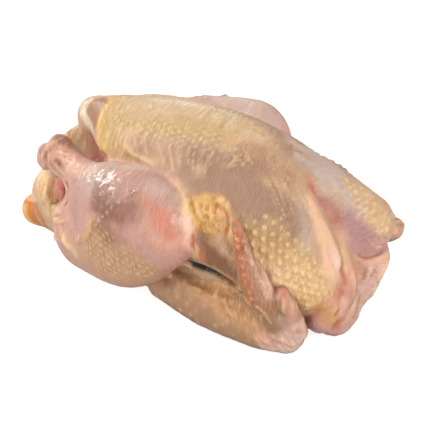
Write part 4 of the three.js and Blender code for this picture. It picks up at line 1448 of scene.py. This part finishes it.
@dataclass
class Skin:
    """The bird's skin while it is dressed: points, their normals, colours and masks."""

    points: Array
    quads: Array
    shares: dict[Part, Array]
    noise: Noise = field(default_factory=lambda: Noise(5))

    RAGGED: ClassVar[tuple[Grain, ...]] = (Grain(9.0), Grain(4.0, 0.5, 50.0))   # edges of patches
    AXIS_HEIGHT = 48.0             # the line round which the skin is laid out
    AXIS_SINK = 70.0               # how far that line sinks at the tail
    TAIL: ClassVar[Row] = (-70.0, -108.0)   # where it begins to sink, and has
    GIRTH = 58.0                   # the radius at which the layout has true size
    FRONT: ClassVar[Row] = (40.0, 90.0)     # where the layout begins to turn over the front, and has
    POLE: ClassVar[Row] = (5.0, 20.0)       # wrinkles fade out this near the line, where the layout swirls
    UNEVEN: ClassVar[Row] = (20.0, 70.0)    # offsets of the noise that bends each way of the layout
    # furrows get painted shade and crests a painted highlight, by their height over the skin round them
    FURROW: ClassVar[Row] = (-0.10, -0.70)  # heights over which a furrow darkens
    FURROW_SHADE: ClassVar[Row] = (0.82, 0.62, 0.46)
    CREST: ClassVar[Row] = (0.03, 0.35)     # heights over which a crest turns paler
    CREST_HIGHLIGHT_SHARE = 0.45

    def __post_init__(self) -> None:
        """Starts with bare skin."""
        self.normals = normals_of(self.points, self.quads)
        self.tint = np.tile(Tint.SKIN.linear(), (len(self.points), 1))
        self.masks = {mask: np.zeros(len(self.points)) for mask in Mask}
        self.ragged = self.noise(self.points, *self.RAGGED)
        self.lift = np.zeros(len(self.points))
        self.lay_out()

    def lay_out(self) -> None:
        """Lays the skin out as a flat sheet: millimetres along the bird and round it, a little uneven."""
        x, y, z = self.points.T
        z = z - self.AXIS_HEIGHT + self.AXIS_SINK * ease(*self.TAIL, x)
        radius = np.hypot(y, z)
        flat = (x - ease(*self.FRONT, x) * (radius - self.GIRTH), self.GIRTH * np.arctan2(y, z))
        bends = [self.noise(self.points, Grain(13.0, 1.3, offset), Grain(5.0, 0.9, -offset))
                 for offset in self.UNEVEN]
        self.lay = np.stack([flat[0] + bends[0], flat[1] + bends[1]], axis=1)
        self.sheet = np.column_stack([self.lay, np.zeros(len(self.lay))])
        self.off_pole = ease(*self.POLE, radius)

    def cover(self, part: Part, tint: Tint, mask: Mask, value: float) -> None:
        """Gives a whole part a colour and a mask."""
        self.mix(self.shares[part], tint, ((mask, value),))

    def paint(self, part: Part, patch: Patch) -> None:
        """Lays a patch on one part's skin."""
        weight = patch.weight(self.points, self.ragged) * self.shares[part]
        self.mix(weight, patch.tint, patch.masks(), patch.amount)

    def mix(self, weight: Array, tint: Tint | None, masks: Masks, amount: float = 1.0) -> None:
        """Mixes a colour and masks into the skin's own.

        Args:
            weight: how much of both each point gets.
            tint: the colour, if there is one.
            masks: the masks' values.
            amount: how much of the colour is used.
        """
        if tint:
            self.tint += (weight * amount)[:, None] * (tint.linear() - self.tint)
        for mask, value in masks:
            self.masks[mask] += weight * (value - self.masks[mask])

    def shade(self, height: Array) -> None:
        """Paints shade into the skin's furrows, darker and redder, and a pale yellow painted highlight onto
        its crests.

        Args:
            height: how far each point stands above the skin round it.
        """
        furrow_shading = ease(*self.FURROW, height)
        crest_highlight = ease(*self.CREST, height)
        self.tint *= 1.0 - furrow_shading[:, None] * (1.0 - np.array(self.FURROW_SHADE))
        self.tint += (crest_highlight * self.CREST_HIGHLIGHT_SHARE)[:, None] * (Tint.PALE_FAT.linear() - self.tint)


# ---- the bird --------------------------------------------------------------------------------------


def placed(name: str, data: bpy.types.ID) -> bpy.types.Object:
    """A new object of some data, in the scene.

    Args:
        name: the object's name.
        data: its mesh, light or camera.

    Returns:
        The object.
    """
    made = bpy.data.objects.new(name, data)
    bpy.context.collection.objects.link(made)
    return made


@dataclass(frozen=True)
class Relief:
    """How high the skin's small forms stand and how large they are, in millimetres."""

    lump: float = 1.0
    lumps: tuple[Grain, ...] = (Grain((3.6, 3.6, 5.2), 1.0, 90.0), Grain(2.2, 0.5))
    swell: Grain = Grain(24.0, 0.35, 30.0)
    wrinkle: float = 0.42
    wrinkles: Grain = Grain((3.0, 17.0, 1.0))   # across, along
    sharpness: float = 2.4                      # of a wrinkle's crest
    pimple: float = 1.8
    pore: float = 0.55
    above_floor: Row = (1.0, 6.0)               # heights at which relief begins and is full
    rounds: int = 8                             # of smoothing, to tell small forms from large ones


@dataclass
class Chicken:
    """The whole bird: its field, its mesh, its folds and its colours."""

    bird: Bird = field(default_factory=Bird)
    mesh: SkinMesh = field(default_factory=SkinMesh)
    relief: Relief = Relief()
    pimples: Follicles = Follicles(7.0, 12.0, (-0.1, 2.5))
    pores: Follicles = Follicles(4.1, 8.0, (-0.6, 2.3))
    piece: str = "chicken_skin"
    node: str = "chicken"

    def fold(self, skin: Skin) -> None:
        """Raises and presses in the skin's folds.

        Args:
            skin: the skin, whose lift takes them.
        """
        folds = self.bird.folds()
        paths = [fold.nodes() for fold in folds]
        ends = np.cumsum([len(path) for path in paths])[:-1]
        settled = np.split(self.bird.settle(np.concatenate(paths)), ends)
        for fold, nodes in zip(folds, settled):
            skin.lift += fold.lift(nodes, skin.points, skin.normals)

    def shape(self, skin: Skin) -> Array:
        """Moves the skin out by its folds, wrinkles, bumpy fat and follicles, and paints shade into its
        furrows and highlights onto its crests.

        Args:
            skin: the painted and folded skin.

        Returns:
            The skin's points in their last place.
        """
        relief, noise = self.relief, skin.noise
        crests = np.maximum(1.0 - relief.sharpness * np.abs(noise(skin.sheet, relief.wrinkles)), 0.0)
        lift = skin.lift + noise(skin.points, relief.swell)
        for height, mask, form in (
            (relief.lump, Mask.LUMPY, noise(skin.points, *relief.lumps)),
            (relief.wrinkle, Mask.CREPE, crests),
            (relief.pimple, Mask.PIMPLE, self.pimples.dots(skin.lay)),
            (relief.pore, Mask.PORE, self.pores.dots(skin.lay)),
        ):
            lift += height * skin.masks[mask] * form
        lift *= ease(*relief.above_floor, skin.points[:, 2])
        # painted shade in the furrows and painted highlight on the crests
        skin.shade(lift - relax(lift[:, None], skin.quads, relief.rounds)[:, 0])
        return skin.points + lift[:, None] * skin.normals

    def build(self) -> bpy.types.Object:
        """Builds the finished piece in the frame's metres.

        Returns:
            The piece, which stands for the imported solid.
        """
        points, quads = self.mesh.build(self.bird.distance)
        skin = Skin(points, quads, self.bird.shares(points))
        self.bird.paint(skin)
        self.fold(skin)
        shaped = self.shape(skin)
        low, high = (np.array(corner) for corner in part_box(self.node))
        middle = (points.min(axis=0) + points.max(axis=0)) / 2.0 / METRE
        shift = (low + high) / 2.0 - middle
        shift[2] = 0.0
        mesh = bpy.data.meshes.new(self.piece)
        mesh.from_pydata((shaped / METRE + shift).tolist(), [], quads.tolist())
        mesh.shade_smooth()
        self.write(mesh, skin)
        mesh.materials.append(SkinFinish(self.pimples, self.pores).build())
        piece = placed(self.piece, mesh)
        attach(piece, "root")
        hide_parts(self.node)
        return piece

    def write(self, mesh: bpy.types.Mesh, skin: Skin) -> None:
        """Gives the mesh the attributes that the material reads.

        Args:
            mesh: the piece's mesh.
            skin: the finished skin.
        """
        tint = np.column_stack([skin.tint, np.ones(len(skin.tint))])
        mesh.attributes.new("tint", "FLOAT_COLOR", "POINT").data.foreach_set("color", tint.ravel())
        mesh.attributes.new("lay", "FLOAT_VECTOR", "POINT").data.foreach_set("vector", skin.sheet.ravel())
        for mask, values in skin.masks.items():
            mesh.attributes.new(mask.value, "FLOAT", "POINT").data.foreach_set("value", values)


# ---- the skin's material ---------------------------------------------------------------------------

Value = float | bpy.types.NodeSocket
FLOAT = "NodeSocketFloat"
VECTOR = "NodeSocketVector"
NOISE_MIDDLE = 0.5         # the middle of what a noise texture puts out


class Nodes:
    """Adds nodes to a shader tree and links them."""

    SHARE, FIRST, SECOND, MIXED = 0, 6, 7, 2       # a mix node's sockets for colours

    def __init__(self, tree: bpy.types.NodeTree) -> None:
        """Works on one tree."""
        self.tree = tree

    def add(self, kind: str, inputs: dict | None = None, **settings: object) -> bpy.types.Node:
        """Adds a node.

        Args:
            kind: the node's type.
            inputs: values or sockets for its inputs, by name or number.
            **settings: the node's own properties.

        Returns:
            The new node.
        """
        node = self.tree.nodes.new(kind)
        for name, value in settings.items():
            setattr(node, name, value)
        for name, value in (inputs or {}).items():
            if isinstance(value, bpy.types.NodeSocket):
                self.tree.links.new(value, node.inputs[name])
            else:
                node.inputs[name].default_value = value
        return node

    def math(self, operation: str, a: Value, b: Value = 0.0, clamp: bool = False) -> bpy.types.NodeSocket:
        """The result of a calculation on two numbers."""
        return self.add("ShaderNodeMath", {0: a, 1: b}, operation=operation, use_clamp=clamp).outputs[0]

    def total(self, *parts: tuple[Value, float]) -> bpy.types.NodeSocket:
        """Adds up values, each times its own weight.

        Args:
            *parts: each value with its weight.

        Returns:
            The sum.
        """
        weighted = [self.math("MULTIPLY", value, weight) for value, weight in parts]
        added = weighted[0]
        for value in weighted[1:]:
            added = self.math("ADD", added, value)
        return added

    def vector(self, operation: str, a: Value, b: Value | Row, output: int | str = 0) -> bpy.types.NodeSocket:
        """The result of a calculation on two vectors."""
        return self.add("ShaderNodeVectorMath", {0: a, 1: b}, operation=operation).outputs[output]

    def ease(self, value: Value, low: float, high: float) -> bpy.types.NodeSocket:
        """A smooth step from 0 at low to 1 at high."""
        inputs = {"Value": value, "From Min": low, "From Max": high}
        return self.add("ShaderNodeMapRange", inputs, interpolation_type="SMOOTHSTEP").outputs[0]

    def mix(self, share: Value, a: Value | Row, b: Value | Row, blend: str) -> bpy.types.NodeSocket:
        """Two colours mixed."""
        inputs = {self.SHARE: share, self.FIRST: a, self.SECOND: b}
        return self.add("ShaderNodeMix", inputs, data_type="RGBA", blend_type=blend).outputs[self.MIXED]

    def noise(self, place: Value, **inputs: float) -> bpy.types.NodeSocket:
        """A noise texture with lumps of size 1."""
        return self.add("ShaderNodeTexNoise", {"Vector": place, "Scale": 1.0, **inputs}).outputs["Fac"]

    def attribute(self, name: str, output: str = "Fac") -> bpy.types.NodeSocket:
        """One of the mesh's own attributes."""
        return self.add("ShaderNodeAttribute", attribute_name=name).outputs[output]

    def group(self, tree: bpy.types.NodeTree, **inputs: Value) -> bpy.types.bpy_prop_collection:
        """The outputs of a node group, placed with its own values."""
        return self.add("ShaderNodeGroup", inputs, node_tree=tree).outputs


def new_group(name: str, inputs: dict[str, str], outputs: tuple[str, ...]) -> Nodes:
    """Starts a shader node group.

    Args:
        name: the group's name.
        inputs: the type of each input socket, by name.
        outputs: the names of the output sockets, which are all numbers.

    Returns:
        A helper that adds nodes to the group.
    """
    tree = bpy.data.node_groups.new(name, "ShaderNodeTree")
    for socket, kind in inputs.items():
        tree.interface.new_socket(socket, in_out="INPUT", socket_type=kind)
    for socket in outputs:
        tree.interface.new_socket(socket, in_out="OUTPUT", socket_type=FLOAT)
    return Nodes(tree)


@dataclass(frozen=True)
class FollicleDots:
    """A dot at each feather follicle, and a smaller one at its heart."""

    follicles: Follicles
    name: str

    def group(self) -> bpy.types.NodeTree:
        """Makes the node group.

        Returns:
            The group, with the laid-out place as its input.
        """
        nodes = new_group(self.name, {"Lay": VECTOR}, ("Dot", "Heart"))
        lay = nodes.add("NodeGroupInput").outputs["Lay"]
        phases = [nodes.vector("DOT_PRODUCT", lay, (*wave, 0.0), "Value") for wave in self.follicles.waves()]
        first, second, third = (nodes.math("COSINE", phase) for phase in phases)
        total = nodes.math("ADD", nodes.math("ADD", first, second), third)
        dots = {"Dot": self.follicles.dot, "Heart": self.follicles.heart}
        nodes.add("NodeGroupOutput", {socket: nodes.ease(total, *limits) for socket, limits in dots.items()})
        return nodes.tree


@dataclass(frozen=True)
class CrepeSkin:
    """Fine wrinkles, as a height and as the lines where the skin is creased."""

    detail: float = 3.0
    roughness: float = 0.55
    distortion: float = 0.7
    crease: float = 0.07           # half a crease's width, in the noise's own terms
    cut: float = 0.35              # how deep the crease cuts in

    def group(self) -> bpy.types.NodeTree:
        """Makes the node group.

        Returns:
            The group, with the laid-out place and a wrinkle's width and length as its inputs.
        """
        nodes = new_group("crepe skin", {"Lay": VECTOR, "Width": FLOAT, "Length": FLOAT}, ("Height", "Line"))
        given = nodes.add("NodeGroupInput").outputs
        size = nodes.add("ShaderNodeCombineXYZ", {0: given["Width"], 1: given["Length"], 2: 1.0})
        place = nodes.vector("DIVIDE", given["Lay"], size.outputs[0])
        wave = nodes.noise(place, Detail=self.detail, Roughness=self.roughness, Distortion=self.distortion)
        off = nodes.math("ABSOLUTE", nodes.math("SUBTRACT", wave, NOISE_MIDDLE))
        line = nodes.ease(off, self.crease, 0.0)
        height = nodes.math("SUBTRACT", wave, nodes.math("MULTIPLY", line, self.cut))
        nodes.add("NodeGroupOutput", {"Height": height, "Line": line})
        return nodes.tree


@dataclass(frozen=True)
class Clouds:
    """Soft uneven clouds, from 0 to 1."""

    detail: float = 2.0
    roughness: float = 0.6
    edge: Row = (0.3, 0.7)         # where on the noise a cloud begins and is full

    def group(self) -> bpy.types.NodeTree:
        """Makes the node group.

        Returns:
            The group, with the place and a cloud's size as its inputs.
        """
        nodes = new_group("clouds", {"Place": VECTOR, "Size": FLOAT}, ("Cloud",))
        given = nodes.add("NodeGroupInput").outputs
        size = nodes.add("ShaderNodeCombineXYZ", {n: given["Size"] for n in range(3)})
        place = nodes.vector("DIVIDE", given["Place"], size.outputs[0])
        noise = nodes.noise(place, Detail=self.detail, Roughness=self.roughness)
        nodes.add("NodeGroupOutput", {"Cloud": nodes.ease(noise, *self.edge)})
        return nodes.tree


@dataclass(frozen=True)
class Stain:
    """A colour in linear light that shows where something else is strong."""

    amount: float
    colour: Row
    blend: str = "MULTIPLY"


@dataclass(frozen=True)
class Bumps:
    """How high the finest forms stand, in millimetres before the strength."""

    broad: float = 1.8             # wrinkles where the skin is crepe
    fine: float = 1.4
    everywhere: float = 0.35
    pimple: float = 0.35
    pore: float = 0.15
    grain: float = 0.14
    bead: float = 0.6              # moisture
    strength: float = 0.8


@dataclass(frozen=True)
class SkinFinish:
    """Moist raw skin: soft light under it, fat and blood showing through, fine wrinkles and follicles."""

    pimples: Follicles
    pores: Follicles
    bumps: Bumps = Bumps()
    cloud_sizes: Row = (14.0, 3.2, 1.2)     # blotches, mottling and grain
    broad: Row = (3.4, 16.0)                # a broad wrinkle's width and length
    fine: Row = (1.3, 8.0)                  # and a fine one's
    blotch: Stain = Stain(0.16, (0.95, 0.80, 0.62))
    mottle: Stain = Stain(0.14, (0.85, 0.66, 0.56))
    # painted shade along the wrinkles' creases
    crease: Stain = Stain(0.35, (0.80, 0.62, 0.50))
    follicle: Stain = Stain(0.32, tuple(Tint.FOLLICLE.linear()), "MIX")
    pit: Stain = Stain(0.25, tuple(Tint.FOLLICLE.linear()), "MIX")
    heart: Stain = Stain(0.2, (0.62, 0.32, 0.14))
    dry: float = 0.40              # roughness where the skin is matt
    moist: float = 0.28            # and where it is wet
    uneven: float = 0.12           # how much the roughness varies
    bead: Row = (0.35, 0.8)        # where on the grain a bead of moisture begins and is full
    coat: float = 0.2              # roughness of the moisture
    under_skin: float = 0.08       # how much light goes under the surface
    depth: float = 0.0035          # metres that it goes
    spread: Row = (1.0, 0.45, 0.25)         # how far red, green and blue go, as shares of that

    def build(self) -> bpy.types.Material:
        """Makes the skin's node material.

        Returns:
            The material, which reads the mesh's own attributes.
        """
        material = bpy.data.materials.new("chicken skin")
        material.use_nodes = True
        material.node_tree.nodes.clear()
        nodes = Nodes(material.node_tree)
        lay = nodes.attribute("lay", "Vector")
        place = nodes.vector("MULTIPLY", nodes.add("ShaderNodeTexCoord").outputs["Object"], (METRE,) * 3)
        pimple, pore, crepe, wet = (
            nodes.attribute(mask.value) for mask in (Mask.PIMPLE, Mask.PORE, Mask.CREPE, Mask.WET))
        clouds, wrinkles = Clouds().group(), CrepeSkin().group()
        large, small, grain = (nodes.group(clouds, Place=place, Size=size)[0] for size in self.cloud_sizes)
        broad, fine = (nodes.group(wrinkles, Lay=lay, Width=width, Length=length)
                       for width, length in (self.broad, self.fine))
        raised = nodes.group(FollicleDots(self.pimples, "pimples").group(), Lay=lay)
        sunk = nodes.group(FollicleDots(self.pores, "pores").group(), Lay=lay)
        dot = nodes.math("MULTIPLY", raised["Dot"], pimple)
        pit = nodes.math("MULTIPLY", sunk["Dot"], pore)

        colour = nodes.attribute("tint", "Color")
        for share, stain in (
            (large, self.blotch),
            (small, self.mottle),
            # painted shade in the creases
            (nodes.math("MULTIPLY", broad["Line"], crepe), self.crease),
            (dot, self.follicle),
            (pit, self.pit),
            (nodes.math("MULTIPLY", sunk["Heart"], pore), self.heart),
        ):
            amount = nodes.math("MULTIPLY", share, stain.amount)
            colour = nodes.mix(amount, colour, (*stain.colour, 1.0), stain.blend)

        varied = nodes.math("MULTIPLY", nodes.math("SUBTRACT", small, NOISE_MIDDLE), self.uneven)
        rough = nodes.math("ADD", self.dry, varied)
        rough = nodes.math("SUBTRACT", rough, nodes.math("MULTIPLY", wet, self.dry - self.moist), clamp=True)

        height = nodes.total(
            (nodes.math("MULTIPLY", broad["Height"], crepe), self.bumps.broad),
            (nodes.math("MULTIPLY", fine["Height"], crepe), self.bumps.fine),
            (fine["Height"], self.bumps.everywhere),
            (dot, self.bumps.pimple),
            (pit, self.bumps.pore),
            (grain, self.bumps.grain),
            (nodes.math("MULTIPLY", nodes.ease(grain, *self.bead), wet), self.bumps.bead),
        )
        bump = nodes.add("ShaderNodeBump", {"Strength": self.bumps.strength, "Distance": 1.0 / METRE,
                                            "Height": height})
        shader = nodes.add("ShaderNodeBsdfPrincipled", {
            "Base Color": colour, "Roughness": rough, "Normal": bump.outputs[0], "Coat Weight": wet,
            "Coat Roughness": self.coat, "Subsurface Weight": self.under_skin,
            "Subsurface Scale": self.depth, "Subsurface Radius": self.spread,
        })
        nodes.add("ShaderNodeOutputMaterial", {"Surface": shader.outputs[0]})
        return material


# ---- studio ----------------------------------------------------------------------------------------

WHITE = (1.0, 1.0, 1.0, 1.0)


def aim(stand: bpy.types.Object, target: Vector, azimuth: float, elevation: float, distance: float) -> None:
    """Puts a light or the camera round the bird, facing its target.

    Args:
        stand: what is placed.
        target: the place that it faces.
        azimuth: degrees, 0 at the near side and 90 at the neck end.
        elevation: degrees over the floor.
        distance: metres to the target.
    """
    a, e = math.radians(azimuth), math.radians(elevation)
    away = Vector((math.sin(a) * math.cos(e), -math.cos(a) * math.cos(e), math.sin(e)))
    stand.location = target + away * distance
    stand.rotation_euler = away.to_track_quat("Z", "Y").to_euler()


@dataclass(frozen=True)
class Softbox:
    """A large soft light that faces the bird."""

    name: str
    azimuth: float         # degrees, as in aim
    elevation: float
    distance: float        # metres
    size: float
    power: float           # watts

    def build(self, target: Vector) -> bpy.types.Object:
        """Makes the light.

        Args:
            target: the place that it faces.

        Returns:
            The light, in its place.
        """
        light = bpy.data.lights.new(self.name, "AREA")
        light.shape = "DISK"
        light.size = self.size
        light.energy = self.power
        lamp = placed(self.name, light)
        aim(lamp, target, self.azimuth, self.elevation, self.distance)
        return lamp


@dataclass(frozen=True)
class Studio:
    """A white floor, a white surround and soft lights."""

    floor_size: float = 6.0        # metres
    surround: float = 0.42         # light that comes from all round
    seen: float = 1.0              # how bright the surround looks
    bounce: float = 0.55           # how much light the floor throws back
    glow: float = 0.80             # how bright the floor looks without any light on it
    matt: float = 0.9              # the floor's roughness
    sheen: float = 0.2             # and its shine
    lights: tuple[Softbox, ...] = (
        Softbox("left softbox", -98, 34, 1.1, 0.5, 8.0),
        Softbox("right softbox", 80, 22, 1.2, 0.5, 6.5),
        Softbox("rear softbox", 140, 32, 1.6, 0.8, 3.5),
        Softbox("back window", -158, 20, 1.6, 0.8, 3.6),
        Softbox("side window", -35, 30, 0.9, 0.5, 2.4),
        Softbox("front fill", 12, 18, 1.4, 0.9, 4.7),
        Softbox("overhead softbox", 10, 72, 1.4, 0.9, 3.0),
    )

    def build(self) -> bpy.types.Object:
        """Makes the floor, the surround and the lights.

        Returns:
            The floor.
        """
        half = self.floor_size / 2.0
        mesh = bpy.data.meshes.new("floor")
        corners = [(-half, -half, 0.0), (half, -half, 0.0), (half, half, 0.0), (-half, half, 0.0)]
        mesh.from_pydata(corners, [], [(0, 1, 2, 3)])
        mesh.materials.append(self.paper())
        floor = placed("floor", mesh)
        floor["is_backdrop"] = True
        low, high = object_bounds()
        for light in self.lights:
            light.build((low + high) / 2.0)
        bpy.context.scene.world = self.sky()
        bpy.context.scene.view_settings.view_transform = "Standard"
        return floor

    def sky(self) -> bpy.types.World:
        """Makes the surround, which looks white and lights the bird more gently than that.

        Returns:
            The world.
        """
        world = bpy.data.worlds.new("surround")
        world.use_nodes = True
        nodes = Nodes(world.node_tree)
        seen = nodes.add("ShaderNodeLightPath").outputs["Is Camera Ray"]
        strength = nodes.math("ADD", self.surround, nodes.math("MULTIPLY", seen, self.seen - self.surround))
        back = world.node_tree.nodes["Background"]
        back.inputs["Color"].default_value = WHITE
        world.node_tree.links.new(strength, back.inputs["Strength"])
        return world

    def paper(self) -> bpy.types.Material:
        """Makes the floor's white paper, lit from within where it is looked at, so that shadows stay faint.

        Returns:
            The material.
        """
        material = bpy.data.materials.new("white paper")
        material.use_nodes = True
        nodes = Nodes(material.node_tree)
        seen = nodes.add("ShaderNodeLightPath").outputs["Is Camera Ray"]
        shader = material.node_tree.nodes["Principled BSDF"]
        for name, value in {
            "Base Color": (*(self.bounce,) * 3, 1.0), "Roughness": self.matt,
            "Specular IOR Level": self.sheen, "Emission Color": WHITE,
        }.items():
            shader.inputs[name].default_value = value
        glow = nodes.math("MULTIPLY", seen, self.glow)
        material.node_tree.links.new(glow, shader.inputs["Emission Strength"])
        return material


@dataclass(frozen=True)
class Viewpoint:
    """The camera."""

    azimuth: float = 26.0          # degrees, as in aim
    elevation: float = 34.0
    distance: float = 0.748        # metres to the target
    target: Point = (0.01482, -0.00267, 0.05544)
    lens: float = 98.85            # millimetres
    sensor: float = 36.0

    def build(self) -> bpy.types.Object:
        """Makes the camera.

        Returns:
            The scene's own camera.
        """
        camera = bpy.data.cameras.new("camera")
        camera.lens = self.lens
        camera.sensor_width = self.sensor
        stand = placed("camera", camera)
        aim(stand, Vector(self.target), self.azimuth, self.elevation, self.distance)
        bpy.context.scene.camera = stand
        return stand


def main() -> None:
    """Builds the camera, the bird and the studio, and reports each."""
    logging.basicConfig(level=logging.INFO, format="%(message)s")
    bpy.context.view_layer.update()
    camera = Viewpoint().build()
    LOG.info("%s: the viewpoint", camera.name)
    piece = Chicken().build()
    LOG.info("%s: %d vertices, %d faces", piece.name, len(piece.data.vertices), len(piece.data.polygons))
    floor = Studio().build()
    LOG.info("%s: the studio", floor.name)


if __name__ == "__main__":
    main()
